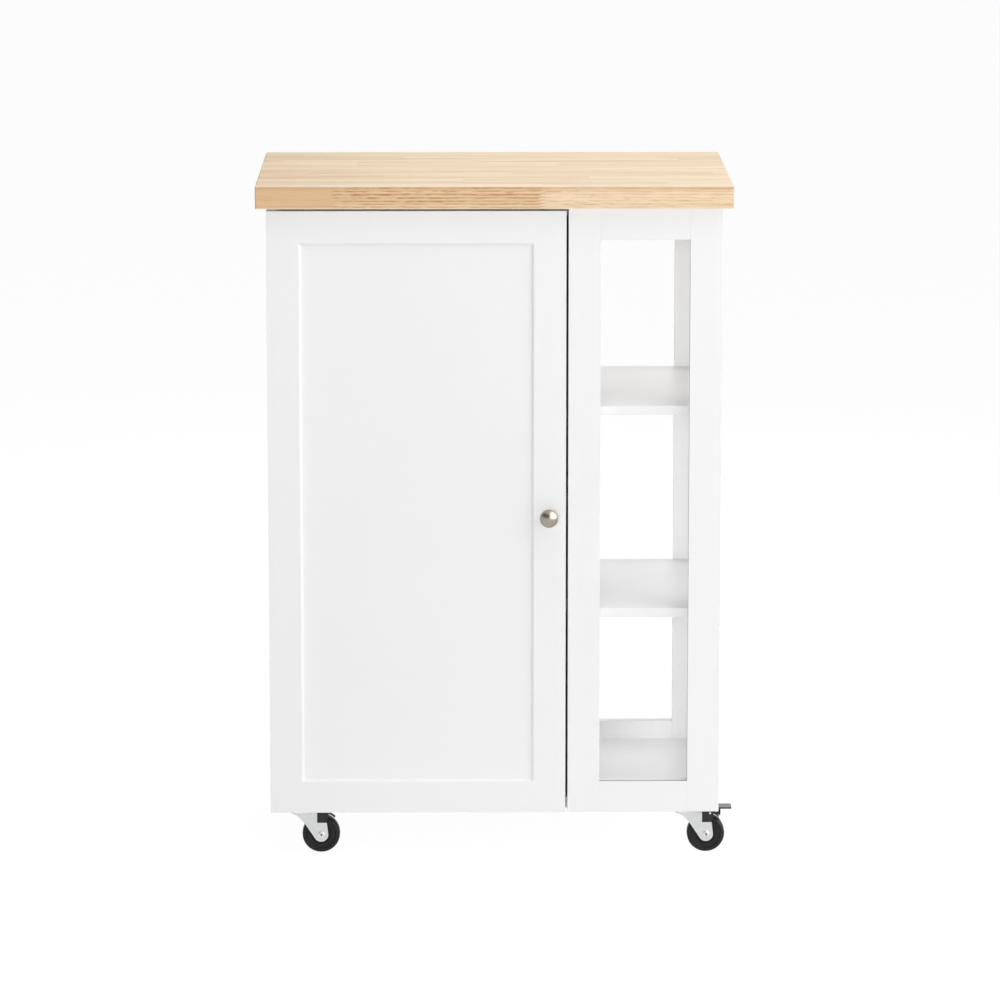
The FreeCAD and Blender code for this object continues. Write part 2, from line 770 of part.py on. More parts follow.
def make_hinges():
    cups, arms, plates, pins, cup_screws, plate_screws = [], [], [], [], [], []
    for height in HINGE_HEIGHTS:
        cups.append(make_hinge_cup(height))
        arms.append(make_hinge_arm(height))
        plates.append(make_hinge_plate(height))
        pins.append(hinge_pin_rod("hinge_pin", "hinge_pin_radius", height))
        for z in flange_screw_heights(height):
            cup_screws.append(screw("cup_screw", "-Y", FLANGE_CENTRE, FLANGE_BACK, z))
        for y, z in hinge_screw_places(height):
            plate_screws.append(screw("plate_screw", "-X", f"({LEFT_IN} + hinge_wing_sheet)", y, z))
    for label, pieces in (
        ("hinge_cups", cups),
        ("hinge_arms", arms),
        ("hinge_plates", plates),
        ("hinge_pins", pins),
        ("hinge_cup_screws", cup_screws),
        ("hinge_plate_screws", plate_screws),
    ):
        node(group(label + "_pair", pieces), label)


# Magnetic catch on the partition, and the steel plate that it holds on the door
CATCH_FRONT = f"({DOOR_BACK} + strike_sheet + strike_gap)"
CATCH_MIDDLE = f"({CATCH_FRONT} + catch_length / 2)"
CATCH_HEIGHT = share_of_height("catch_share")
CATCH_SCREW_HEIGHTS = around(CATCH_HEIGHT, "catch_screw_spacing")


def make_catch():
    y = (CATCH_FRONT, f"({CATCH_FRONT} + catch_length)")
    block = board("catch_block", (f"({BAY} - catch_width)", BAY), y, around(CATCH_HEIGHT, "catch_block"))
    ears_x = (f"({BAY} - catch_ear)", BAY)
    ears_z = around(CATCH_HEIGHT, "catch_height")
    ears = board("catch_ears", ears_x, around(CATCH_MIDDLE, "catch_width"), ears_z)
    holes = []
    screws = []
    for z in CATCH_SCREW_HEIGHTS:
        holes.append(screw_hole("ear_hole", "+X", f"({BAY} - catch_ear)", CATCH_MIDDLE, z))
        screws.append(screw("catch_screw", "+X", f"({BAY} - catch_ear)", CATCH_MIDDLE, z))
    node(cut("catch", join("catch_blank", [block, ears]), holes), "catch_body")
    node(group("catch_screw_pair", screws), "catch_screws")
    right = f"({DOOR_RIGHT} - strike_inset)"
    strike_x = (f"({right} - strike_width)", right)
    strike_y = (DOOR_BACK, f"({DOOR_BACK} + strike_sheet)")
    node(board("strike", strike_x, strike_y, around(CATCH_HEIGHT, "strike_height")), "strike_plate")


# Casters. Each is drawn about its own swivel axis, with its wheel trailing towards +X.
CASTERS = {
    "front_left": (f"({LEFT} + caster_inset)", f"({FRONT} + caster_setback)"),
    "front_right": (f"({RIGHT} - caster_inset)", f"({FRONT} + caster_setback)"),
    "back_left": (f"({LEFT} + caster_inset)", f"({BACK} - caster_setback)"),
    "back_right": (f"({RIGHT} - caster_inset)", f"({BACK} - caster_setback)"),
}
BRAKED = ("front_right", "back_left")
DECK = "(wheel_diameter + head_gap)"
DECK_TOP = "(wheel_diameter + head_gap + fork_sheet)"
FORK_WIDTH = "(wheel_width + 2 * fork_gap + 2 * fork_sheet)"
RACE = f"({BASE} - race_depth)"
AXLE_HEIGHT = "(wheel_diameter / 2)"


def plate_screw_places(x, y):
    """The four screws of a caster plate."""
    spacing = "plate_hole_spacing"
    return [(at_x, at_y) for at_x in around(x, spacing) for at_y in around(y, spacing)]


def from_axle(share_x, share_z):
    """A point of the side view, given from the axle in wheel radii."""
    radius = size("wheel_diameter") / 2
    return (size("trail") + share_x * radius, radius + share_z * radius)


def on_wheel(radius, degrees):
    """A point of the side view at a distance and an angle round the axle."""
    angle = math.radians(degrees)
    centre = from_axle(0, 0)
    return (centre[0] + radius * math.cos(angle), centre[1] + radius * math.sin(angle))


def touch(point, centre, radius, side):
    """Where a line from the point touches a circle, on its left (1) or right (-1) side."""
    across = (centre[0] - point[0], centre[1] - point[1])
    distance = math.hypot(*across)
    angle = math.atan2(across[1], across[0]) - side * math.asin(radius / distance)
    length = math.sqrt(distance**2 - radius**2)
    return (point[0] + length * math.cos(angle), point[1] + length * math.sin(angle))


def deck_height():
    return size("wheel_diameter") + size("head_gap")


def make_caster_plate(name, x, y):
    """Top plate with its raceway pressed down under it, and the kingpin riveted into it."""
    body = new_body(name + "_plate")
    outline = new_sketch(body, "XY_Plane", name + "_plate_outline")
    bind(outline, "AttachmentOffset.Base.z", BASE)
    square(outline, "plate_size")
    sheet_pad = pad(body, outline, name + "_plate_sheet", "plate_sheet")
    flat = size("plate_sheet")
    upright = edges_at(sheet_pad.Shape, lambda middle, edge: abs(edge.Length - flat) < PICK)
    round_edges(body, sheet_pad, name + "_plate_corners", "PartDesign::Fillet", "Radius", "plate_corner", upright)
    base = deck_height() + size("fork_sheet") + size("dish_height") + size("swivel_gap")
    race = base - size("race_depth")
    head_top = deck_height() - size("race_gap")
    head_low = head_top - size("kingpin_head")
    pin, head = size("kingpin_radius"), size("kingpin_head_radius")
    points = [
        (0, head_low),
        (head, head_low),
        (head, head_top),
        (pin, head_top),
        (pin, race),
        (size("race_radius") - size("fork_sheet"), race),
        (size("race_radius") + size("race_gap"), base),
        (size("race_radius") + size("race_gap"), base + flat),
        (0, base + flat),
    ]
    profile = new_sketch(body, "XZ_Plane", name + "_kingpin_profile")
    profile.addGeometry(polygon(points), False)
    revolve(body, profile, name + "_kingpin", "V_Axis")
    place(body, x, y, "0")
    holes = [screw_hole("plate_hole", "+Z", at_x, at_y, BASE) for at_x, at_y in plate_screw_places(x, y)]
    return cut(name + "_plate_drilled", body, holes)


def make_swivel_race(name, x, y):
    """The hard plastic bearing ring between the fork's dish and the plate's raceway."""
    low = f"({DECK_TOP} + race_gap)"
    thickness = f"{RACE} - {low}"
    ring = rod(name + "_ring", "+Z", "race_radius - fork_sheet", thickness, x, y, low)
    through = f"{thickness} + 2 * overrun"
    bore = rod(name + "_ring_bore", "+Z", "washer_radius", through, x, y, f"{low} - overrun")
    return cut(name + "_race", ring, [bore])


# Fork side view, in wheel radii from the axle: the step under the brake housing, and its knees
STEP_SHARES = (0.308, 0.656)
KNEE_SHARES = (-0.888, 0.656)
SHOULDER_SHARES = (-1.26, 1.04)
NOSE_SHARE = 0.38
FORK_TAIL_SHARE = 0.8
BOWL_SHARE = 0.88
BEND_MIDDLE = math.sqrt(1 / 2)


def hood_left():
    return size("dish_radius") + size("hood_clear")


def make_fork(name, x, y):
    """A strip bent to a U over the wheel, cut to its side outline, with the bearing dish on top."""
    body = new_body(name + "_fork_body")
    outer = size("wheel_width") / 2 + size("fork_gap") + size("fork_sheet")
    inner = outer - size("fork_sheet")
    deck, top = deck_height(), deck_height() + size("fork_sheet")
    radius = size("wheel_diameter") / 2
    nose = NOSE_SHARE * radius
    low = radius - nose
    bend = size("fork_bend")
    inner_bend = bend - size("fork_sheet")
    turn = top - bend
    side = outer - bend
    strip = [
        line((-outer, low), (-outer, turn)),
        arc((-outer, turn), (-side - bend * BEND_MIDDLE, turn + bend * BEND_MIDDLE), (-side, top)),
        line((-side, top), (side, top)),
        arc((side, top), (side + bend * BEND_MIDDLE, turn + bend * BEND_MIDDLE), (outer, turn)),
        line((outer, turn), (outer, low)),
        line((outer, low), (inner, low)),
        line((inner, low), (inner, turn)),
        arc((inner, turn), (side + inner_bend * BEND_MIDDLE, turn + inner_bend * BEND_MIDDLE), (side, deck)),
        line((side, deck), (-side, deck)),
        arc((-side, deck), (-side - inner_bend * BEND_MIDDLE, turn + inner_bend * BEND_MIDDLE), (-inner, turn)),
        line((-inner, turn), (-inner, low)),
        line((-inner, low), (-outer, low)),
    ]
    section = new_sketch(body, "YZ_Plane", name + "_fork_section")
    section.addGeometry(strip, False)
    bind(section, "AttachmentOffset.Base.z", "-dish_radius")
    pad(body, section, name + "_fork_strip", "dish_radius + trail + wheel_diameter / 2")

    axle = from_axle(0, 0)
    step, knee, shoulder = from_axle(*STEP_SHARES), from_axle(*KNEE_SHARES), from_axle(*SHOULDER_SHARES)
    tail = -FORK_TAIL_SHARE * size("dish_radius")
    right = touch(step, axle, nose, -1)
    left = touch(knee, axle, nose, 1)
    above = top + size("overrun")
    edge = [
        line((tail, above), (hood_left(), above)),
        line((hood_left(), above), (hood_left(), step[1])),
        line((hood_left(), step[1]), step),
        line(step, right),
        arc(right, (axle[0], axle[1] - nose), left),
        line(left, knee),
        line(knee, shoulder),
        line(shoulder, (tail, deck)),
        line((tail, deck), (tail, above)),
    ]
    far = 2 * size("wheel_diameter")
    outline = new_sketch(body, "XZ_Plane", name + "_fork_outline")
    outline.addGeometry(box_outline(-far, far) + edge, False)
    pocket(body, outline, name + "_fork_trimmed", f"2 * {FORK_WIDTH}", symmetric=True)

    dish = size("dish_radius")
    rim_top = top + size("dish_height")
    wall = size("fork_sheet")
    bowl = [
        (0, deck),
        (BOWL_SHARE * dish, deck),
        (dish, deck + (1 - BOWL_SHARE) * dish),
        (dish, rim_top),
        (dish - wall, rim_top),
        (dish - wall, top),
        (0, top),
    ]
    profile = new_sketch(body, "XZ_Plane", name + "_dish_profile")
    profile.addGeometry(polygon(bowl), False)
    revolve(body, profile, name + "_dish", "V_Axis")
    hole = new_sketch(body, "XY_Plane", name + "_kingpin_hole")
    bore_radius = size("kingpin_radius") + size("kingpin_fit")
    hole.addGeometry(Part.Circle(Vector(0, 0, 0), Vector(*ALONG["+Z"]), bore_radius), False)
    bind(hole, "AttachmentOffset.Base.z", f"{DECK_TOP} + overrun")
    pocket(body, hole, name + "_kingpin_bore", "fork_sheet + 2 * overrun")
    axle_hole = new_sketch(body, "XZ_Plane", name + "_axle_hole")
    circle(axle_hole, "trail", AXLE_HEIGHT, "axle_radius + axle_fit")
    pocket(body, axle_hole, name + "_axle_bore", f"2 * {FORK_WIDTH}", symmetric=True)
    place(body, x, y, "0")
    node(body, name + "_fork")


def make_axle(name, x, y):
    """The axle rivet, with a head on each side of the fork."""
    half = size("wheel_width") / 2 + size("fork_gap") + size("fork_sheet")
    end = half + size("rivet_head")
    head, shank = size("rivet_head_radius"), size("axle_radius")
    right = [(half, shank), (half, head), (end, head), (end, 0)]
    left = [(-along, radius) for along, radius in reversed(right)]
    body = new_body(name + "_axle_body")
    sketch = new_sketch(body, "YZ_Plane", name + "_axle_profile")
    sketch.addGeometry(polygon(right + left), False)
    revolve(body, sketch, name + "_axle_turned")
    place(body, f"{x} + trail", y, AXLE_HEIGHT)
    node(body, name + "_axle")


def make_wheel(name, x, y):
    """A moulded wheel: tread with bevelled shoulders, recessed sides and a long hub."""
    radius = size("wheel_diameter") / 2
    half = size("wheel_width") / 2
    edge = size("wheel_round")
    rim = size("wheel_rim_share") * radius
    hub = size("wheel_hub_share") * radius
    web = half - size("wheel_recess")
    hub_end = half + size("fork_gap") - size("hub_gap")
    bore = size("axle_radius") + size("axle_fit")
    right = [
        (hub_end, bore),
        (hub_end, hub),
        (web, hub),
        (web, rim),
        (half, rim),
        (half, radius - edge),
        (half - edge, radius),
    ]
    left = [(-along, across) for along, across in reversed(right)]
    body = new_body(name + "_wheel_body")
    sketch = new_sketch(body, "YZ_Plane", name + "_wheel_profile")
    sketch.addGeometry(polygon(right + left), False)
    revolve(body, sketch, name + "_wheel_turned")
    place(body, f"{x} + trail", y, AXLE_HEIGHT)
    node(body, name + "_wheel")


# Brake housing side view, in wheel radii from the axle, clockwise from its low front corner
HOOD_SHARES = ((0.256, 0.656), (0.388, 0.94), (0.41, 1.02), (0.39, 1.24))


def make_hood(name, x, y):
    """The black housing over the wheel, with a slotted lip that follows the tread."""
    body = new_body(name + "_hood_body")
    top = deck_height() + size("fork_sheet") + size("hood_top")
    step_z = from_axle(*STEP_SHARES)[1]
    front = [from_axle(*shares) for shares in HOOD_SHARES]
    points = [(hood_left(), step_z)] + front + [(front[-1][0] - size("hood_top"), top), (hood_left(), top)]
    outline = new_sketch(body, "XZ_Plane", name + "_hood_outline")
    outline.addGeometry(polygon(points), False)
    pad(body, outline, name + "_hood_block", FORK_WIDTH, symmetric=True)

    near = size("wheel_diameter") / 2 + size("hood_gap")
    far = near + size("hood_sheet")
    start, end = size("lip_start_angle"), size("lip_end_angle")
    middle = (start + end) / 2
    lip = [
        arc(on_wheel(near, start), on_wheel(near, middle), on_wheel(near, end)),
        line(on_wheel(near, end), on_wheel(far, end)),
        arc(on_wheel(far, end), on_wheel(far, middle), on_wheel(far, start)),
        line(on_wheel(far, start), on_wheel(near, start)),
    ]
    lip_sketch = new_sketch(body, "XZ_Plane", name + "_lip_outline")
    lip_sketch.addGeometry(lip, False)
    pad(body, lip_sketch, name + "_lip", FORK_WIDTH, symmetric=True)

    space = new_sketch(body, "XZ_Plane", name + "_wheel_space")
    circle(space, "trail", AXLE_HEIGHT, "wheel_diameter / 2 + hood_gap")
    pocket(body, space, name + "_wheel_pocket", "wheel_width + 2 * hood_side_gap", symmetric=True)
    slot = new_sketch(body, "XZ_Plane", name + "_pedal_slot")
    slot_left = "trail + pedal_pin_x - pedal_barrel_radius - overrun"
    slot_low = f"{AXLE_HEIGHT} + hood_gap"
    rectangle(slot, slot_left, slot_low, "wheel_diameter", f"{DECK_TOP} - ({slot_low})")
    pocket(body, slot, name + "_slot", "hood_slot_width", symmetric=True)
    if name in BRAKED:
        pin = new_sketch(body, "XZ_Plane", name + "_pedal_pin_hole")
        circle(pin, "trail + pedal_pin_x", "wheel_diameter + pedal_pin_rise", "pedal_pin_radius + axle_fit")
        pocket(body, pin, name + "_pedal_pin_bore", f"2 * {FORK_WIDTH}", symmetric=True)
    place(body, x, y, "0")
    node(body, name + "_hood")


# Brake pedal side view, in wheel radii from the axle: over the top of the arm and neck, then back
PEDAL_SHARES = (
    (0.22, 1.25),
    (0.428, 1.144),
    (0.588, 1.056),
    (0.708, 1.12),
    (0.708, 1.37),
    (0.792, 1.37),
    (0.796, 0.97),
    (0.724, 0.956),
    (0.676, 1.016),
    (0.592, 0.968),
    (0.42, 1.04),
    (0.22, 1.04),
)
PLATE_SHARES = (0.708, 1.368, 1.36)


def make_pedal(name, x, y):
    """A bent lever on its pin: tread plate outside the body, arm and shoe over the wheel."""
    body = new_body(name + "_pedal_body")
    arm = new_sketch(body, "XZ_Plane", name + "_pedal_arm")
    arm.addGeometry(polygon([from_axle(*shares) for shares in PEDAL_SHARES]), False)
    pad(body, arm, name + "_arm", "pedal_arm_width", symmetric=True)
    barrel = new_sketch(body, "XZ_Plane", name + "_barrel")
    circle(barrel, "trail + pedal_pin_x", "wheel_diameter + pedal_pin_rise", "pedal_barrel_radius")
    pad(body, barrel, name + "_barrel_pad", "pedal_arm_width", symmetric=True)
    left, low = from_axle(PLATE_SHARES[0], PLATE_SHARES[2])
    right = from_axle(PLATE_SHARES[1], 0)[0]
    high = low + size("pedal_sheet")
    tread = new_sketch(body, "XZ_Plane", name + "_pedal_tread")
    tread.addGeometry(polygon([(left, low), (right, low), (right, high), (left, high)]), False)
    plate = pad(body, tread, name + "_tread", "pedal_width", symmetric=True)
    outside_arm = size("pedal_arm_width") / 2 + PICK
    corners = edges_at(
        plate.Shape,
        lambda middle, edge: abs(middle.z - (low + high) / 2) < PICK and abs(middle.y) > outside_arm,
    )
    round_edges(body, plate, name + "_tread_corners", "PartDesign::Fillet", "Radius", "pedal_corner", corners)
    bore = new_sketch(body, "XZ_Plane", name + "_pedal_bore")
    circle(bore, "trail + pedal_pin_x", "wheel_diameter + pedal_pin_rise", "pedal_pin_radius + axle_fit")
    pocket(body, bore, name + "_pedal_bored", f"2 * {FORK_WIDTH}", symmetric=True)
    place(body, x, y, "0")
    node(body, name + "_brake_pedal")


def make_pedal_pin(name, x, y):
    start = (f"({x} + trail + pedal_pin_x)", around(y, FORK_WIDTH)[0], "wheel_diameter + pedal_pin_rise")
    pin = rod(name + "_pin", "+Y", "pedal_pin_radius", FORK_WIDTH, *start)
    node(pin, name + "_pedal_pin")


def make_casters():
    plates, rings, screws = [], [], []
    for name, (x, y) in CASTERS.items():
        plates.append(make_caster_plate(name, x, y))
        rings.append(make_swivel_race(name, x, y))
        make_fork(name, x, y)
        make_axle(name, x, y)
        make_wheel(name, x, y)
        make_hood(name, x, y)
        if name in BRAKED:
            make_pedal(name, x, y)
            make_pedal_pin(name, x, y)
        for at_x, at_y in plate_screw_places(x, y):
            screws.append(screw("caster_screw", "+Z", at_x, at_y, BASE))
    node(group("caster_plate_set", plates), "caster_plates")
    node(group("swivel_ring_set", rings), "swivel_rings")
    node(group("caster_screw_set", screws), "caster_screws")


make_worktop()
make_side_panel()
make_partition()
make_bottom_panel()
make_carcass()
make_shelf_pins()
make_frames()
make_door()
make_knob()
make_knob_screw()
make_hinges()
make_catch()
make_casters()
doc.recompute()

# Every object has to be sound before anything is written
for item in doc.Objects:
    if {"Invalid", "Error"} & set(item.State):
        raise ValueError(f"{item.Name} failed: {item.State}")
labels = [piece.Label for piece in nodes]
if len(set(labels)) != len(labels):
    raise ValueError("two nodes share a name")
for piece in nodes:
    if piece.Shape.isNull() or not piece.Shape.isValid():
        raise ValueError(f"{piece.Label} has no sound shape")
for piece in nodes:
    piece.Shape.exportStep(f"parts/{piece.Label}.step")
    print(f"{piece.Label}: {len(piece.Shape.Solids)} solids, {piece.Shape.Volume / 1000:.2f} cm3")
print(len(nodes), "nodes")
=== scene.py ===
# %% [markdown]
# # A rolling kitchen cart
# The cart is a white lacquered cupboard with one door beside an open bay with shelves,
# under a glued hardwood worktop, and it stands on four swivel casters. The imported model
# gives every body its size and place. This notebook gives them finishes, replaces the
# pieces whose small forms the solids leave plain, and sets up a photo studio round them.

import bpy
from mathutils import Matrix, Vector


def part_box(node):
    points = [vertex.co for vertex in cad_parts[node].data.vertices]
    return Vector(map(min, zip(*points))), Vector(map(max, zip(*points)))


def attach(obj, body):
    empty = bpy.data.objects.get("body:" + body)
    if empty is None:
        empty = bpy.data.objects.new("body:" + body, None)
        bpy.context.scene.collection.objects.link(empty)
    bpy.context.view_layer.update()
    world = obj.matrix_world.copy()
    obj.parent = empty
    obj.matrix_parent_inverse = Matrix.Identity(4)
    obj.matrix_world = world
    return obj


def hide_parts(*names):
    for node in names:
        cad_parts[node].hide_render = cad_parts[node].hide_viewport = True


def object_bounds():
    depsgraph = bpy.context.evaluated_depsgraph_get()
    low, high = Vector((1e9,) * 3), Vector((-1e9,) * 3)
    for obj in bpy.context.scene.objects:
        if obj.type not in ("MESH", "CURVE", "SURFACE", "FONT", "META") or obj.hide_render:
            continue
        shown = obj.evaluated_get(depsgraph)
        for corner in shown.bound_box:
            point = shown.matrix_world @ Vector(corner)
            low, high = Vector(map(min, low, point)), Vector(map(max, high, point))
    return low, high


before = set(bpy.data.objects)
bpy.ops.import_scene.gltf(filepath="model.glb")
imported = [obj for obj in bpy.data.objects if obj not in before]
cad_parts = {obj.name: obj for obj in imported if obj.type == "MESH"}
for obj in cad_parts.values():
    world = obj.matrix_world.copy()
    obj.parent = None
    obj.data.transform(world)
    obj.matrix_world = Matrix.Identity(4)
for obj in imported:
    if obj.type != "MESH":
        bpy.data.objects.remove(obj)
cad_low, cad_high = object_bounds()
print("solids reach from", tuple(cad_low), "to", tuple(cad_high))

# %% [markdown]
# ## Helpers
# Real finishes are quoted as sRGB hex values, because that is what a colour picker shows.
# Blender's shaders work in linear light, so one function turns the one into the other.

# %% Colours
import math

import bpy
from mathutils import Matrix, Vector

MM = 0.001


def linear(colour):
    """An sRGB hex colour as the linear RGBA that a shader socket takes."""
    channels = [int(colour[start:start + 2], 16) / 255 for start in (1, 3, 5)]
    return [c / 12.92 if c <= 0.04045 else ((c + 0.055) / 1.055) ** 2.4 for c in channels] + [1.0]


print("white lacquer in linear light:", [round(c, 3) for c in linear("#F3F3F3")])

# %% [markdown]
# A procedural material is a small graph. Adding its nodes one by one takes many lines, so
# a single helper makes a node, sets its options and fills its inputs with values or links.

# %% Nodes
CAD_NODES = dict(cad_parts)


def add(tree, kind, inputs=(), **options):
    """One shader node. Inputs go by name or number, to a value or to another node's output."""
    node = tree.nodes.new("ShaderNode" + kind)
    for name, value in options.items():
        setattr(node, name, value)
    for name, value in dict(inputs).items():
        if isinstance(value, bpy.types.NodeSocket):
            tree.links.new(value, node.inputs[name])
        else:
            node.inputs[name].default_value = value
    return node


def finish_of(name, **shader):
    """A new material, its node tree and its Principled shader with the named settings."""
    made = bpy.data.materials.new(name)
    made.use_nodes = True
    surface = made.node_tree.nodes["Principled BSDF"]
    for key, value in shader.items():
        surface.inputs[key.replace("_", " ")].default_value = value
    return made, made.node_tree, surface


print(len(CAD_NODES), "nodes of solids wait for a finish")

# %% [markdown]
# Most finishes below take the same steps. They find where a point lies on the part, lay a
# noise over it, mix two colours by that noise and raise a relief from it. A noise is set by
# how often it changes in a metre, which is one over the size of what it makes. An output
# knows the tree that it belongs to, so these helpers don't have to be told.

# %% Noise, colour and relief
PEEL = 2.5 * MM


def tree_of(*values):
    """The tree that the first output among the values belongs to."""
    return next(value.id_data for value in values if isinstance(value, bpy.types.NodeSocket))


def place_in(tree):
    """Where a point lies on the part."""
    return add(tree, "TexCoord").outputs["Object"]


def axes(vector):
    """X, Y and Z of a vector."""
    return add(tree_of(vector), "SeparateXYZ", {0: vector}).outputs


def noise(place, scale, detail, distortion=0.0):
    """A noise from 0 to 1. The scale is one number, or one for each axis to stretch it."""
    tree = tree_of(place)
    if isinstance(scale, tuple):
        place = add(tree, "Mapping", {"Vector": place, "Scale": scale}).outputs[0]
        scale = 1.0
    inputs = {"Vector": place, "Scale": scale, "Detail": detail, "Distortion": distortion}
    return add(tree, "TexNoise", inputs).outputs["Fac"]


def blend(share, first, second):
    """A share of the second colour in the first. A colour is a hex value or an output."""
    first, second = [linear(c) if isinstance(c, str) else c for c in (first, second)]
    return add(tree_of(share), "Mix", {0: share, 6: first, 7: second}, data_type="RGBA").outputs[2]


def paint(surface, colour):
    """Gives a surface the colour of an output."""
    tree_of(colour).links.new(colour, surface.inputs["Base Color"])


def emboss(surface, height, strength, depth):
    """Gives a surface relief from a height between 0 and 1."""
    tree = tree_of(height)
    bump = add(tree, "Bump", {"Height": height, "Strength": strength, "Distance": depth})
    tree.links.new(bump.outputs[0], surface.inputs["Normal"])


print("an orange peel of", PEEL / MM, "mm is a noise of scale", round(1 / PEEL))

# %% [markdown]
# ## Sprayed white lacquer
# The carcass is medium-density fibreboard, sanded and sprayed with a satin polyurethane
# lacquer. It gives the eye an even, slightly soft white, with a very fine orange peel where
# the droplets flowed together. A noise of about two and a half millimetres makes that peel
# as bump, and a slow noise keeps large faces from looking like flat paint in a drawing.

# %% White lacquer
PATCH = 0.4
SPRAYED = ("#EFEFEF", "#F3F3F3")
# painted light: a brighter copy of the same lacquer for boards that stand in shade inside the cart
SPRAYED_PAINTED_LIGHTER = ("#F8F8F8", "#FBFBFB")


def lacquered(name, dark, light):
    """The lacquer, and the parts of its graph that a variant needs."""
    made, tree, surface = finish_of(name, Roughness=0.36, IOR=1.5)
    place = place_in(tree)
    tone = blend(noise(place, 1 / PATCH, 2.0), dark, light)
    paint(surface, tone)
    emboss(surface, noise(place, 1 / PEEL, 1.0), 0.06, 0.1 * MM)
    return made, surface, place, tone


lacquer = lacquered("sprayed_satin_lacquer", *SPRAYED)[0]
lacquer_painted_lighter = lacquered("sprayed_satin_lacquer_painted_lighter", *SPRAYED_PAINTED_LIGHTER)[0]
print("made", lacquer.name, "and", lacquer_painted_lighter.name)

# %% [markdown]
# Painted shade lines, joints and growth rings follow rules such as "a band behind this edge". Such a
# rule is arithmetic on where a point lies, and each helper below does one step of it.

# %% Arithmetic on outputs
def arithmetic(operation, *values, clamp=False):
    """One step of arithmetic on numbers or outputs."""
    inputs = dict(enumerate(values))
    return add(tree_of(*values), "Math", inputs, operation=operation, use_clamp=clamp).outputs[0]


def plus(first, second):
    """The sum of two numbers or outputs."""
    return arithmetic("ADD", first, second)


def minus(first, second):
    """The first less the second."""
    return arithmetic("SUBTRACT", first, second)


def over(first, second):
    """The first divided by the second."""
    return arithmetic("DIVIDE", first, second)


def times(first, *others):
    """The product of two or more numbers or outputs."""
    for other in others:
        first = arithmetic("MULTIPLY", first, other)
    return first


def fade(value, low, high, to_low=0.0, to_high=1.0):
    """A value carried from one range to another, and held at its ends."""
    inputs = {"Value": value, "From Min": low, "From Max": high, "To Min": to_low, "To Max": to_high}
    return add(tree_of(value), "MapRange", inputs).outputs[0]


def within(value, low, high):
    """1 between two limits, and 0 outside them."""
    return times(arithmetic("GREATER_THAN", value, low), arithmetic("LESS_THAN", value, high))


print("outputs can be added, taken away, divided, multiplied, faded and limited")

# %% [markdown]
# Inside the opening of the front frame, a narrow band of the reveal behind the arris is painted dark
# grey along the bottom and the right. This painted shade draws a fine dark line there. Two bands in the
# frame's own coordinates make it.

# %% Painted shade inside the front frame
rail_low, rail_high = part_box("front_rails")
RAIL = 42 * MM
OPENING_BOTTOM, OPENING_TOP = rail_low.z + RAIL, rail_high.z - RAIL
OPENING_LEFT, OPENING_RIGHT = rail_low.x, rail_high.x
SHADE_BAND = 6 * MM
SHADE_LINE = 0.4 * MM
# painted shade: the dark grey of the fine line inside the opening
SHADE_GREY = "#4A4A48"
SHADE_BELOW, SHADE_RIGHT = 0.8, 0.6


def shade_beside(value, edge, share):
    """A share of painted shade within a line's width of an edge."""
    return fade(arithmetic("ABSOLUTE", minus(value, edge)), SHADE_LINE, 0.8 * SHADE_LINE, 0.0, share)


frame_lacquer_shaded, surface, place, tone = lacquered("satin_lacquer_painted_shade_inside_frame", *SPRAYED)
axis = axes(place)
behind = fade(axis["Y"], rail_low.y + SHADE_BAND, rail_low.y + SHADE_BAND / 3)
in_width = within(axis["X"], OPENING_LEFT, OPENING_RIGHT + SHADE_LINE)
in_height = within(axis["Z"], OPENING_BOTTOM - SHADE_LINE, OPENING_TOP)
on_bottom = times(in_width, shade_beside(axis["Z"], OPENING_BOTTOM, SHADE_BELOW))
on_right = times(in_height, shade_beside(axis["X"], OPENING_RIGHT, SHADE_RIGHT))
# painted shade: a dark grey line on the reveal along the bottom and the right of the opening
reveal_shade = times(behind, arithmetic("MAXIMUM", on_bottom, on_right))
paint(surface, blend(reveal_shade, tone, SHADE_GREY))
print("opening of the front frame is", round((OPENING_RIGHT - OPENING_LEFT) / MM, 1), "mm wide")

# %% [markdown]
# The thin back board is another stuff: hardboard with a printed white foil. Foil is a little
# cooler and shows the fibres below as a fine, soft grain, so its bump is stretched upwards.

# %% White foil
FIBRES_OF_BOARD = (900.0, 900.0, 120.0)

foil, tree, surface = finish_of("white_foil_on_hardboard", Roughness=0.5, IOR=1.5)
fibres = noise(place_in(tree), FIBRES_OF_BOARD, 3.0)
paint(surface, blend(fibres, "#EDEEEE", "#F4F5F5"))
emboss(surface, fibres, 0.08, 0.1 * MM)
print("made", foil.name)

# %% [markdown]
# ## Finger-jointed hardwood
# The worktop is rubberwood: short pieces are joined end to end with zigzag fingers into
# staves 50 mm wide, the staves are glued side by side, and the slab is sanded and oiled.
# The eye sees three things: neighbouring pieces differ in tone, each has its own straight
# grain with short dark pores, and on the slab's front edge the fingers show as a zigzag.
# The same steps make the pattern here. A row number comes from Y, a piece number from X
# inside the row, and both together pick the tone and shift the grain.

# %% Staves and pieces
STAVE = 50 * MM
PIECE = 268 * MM
FRONT_JOINT = -206 * MM
STAVE_EDGE = -165 * MM
FINGER = 4.2 * MM
FINGER_REACH = 6 * MM
ROW_SHIFT = 0.382

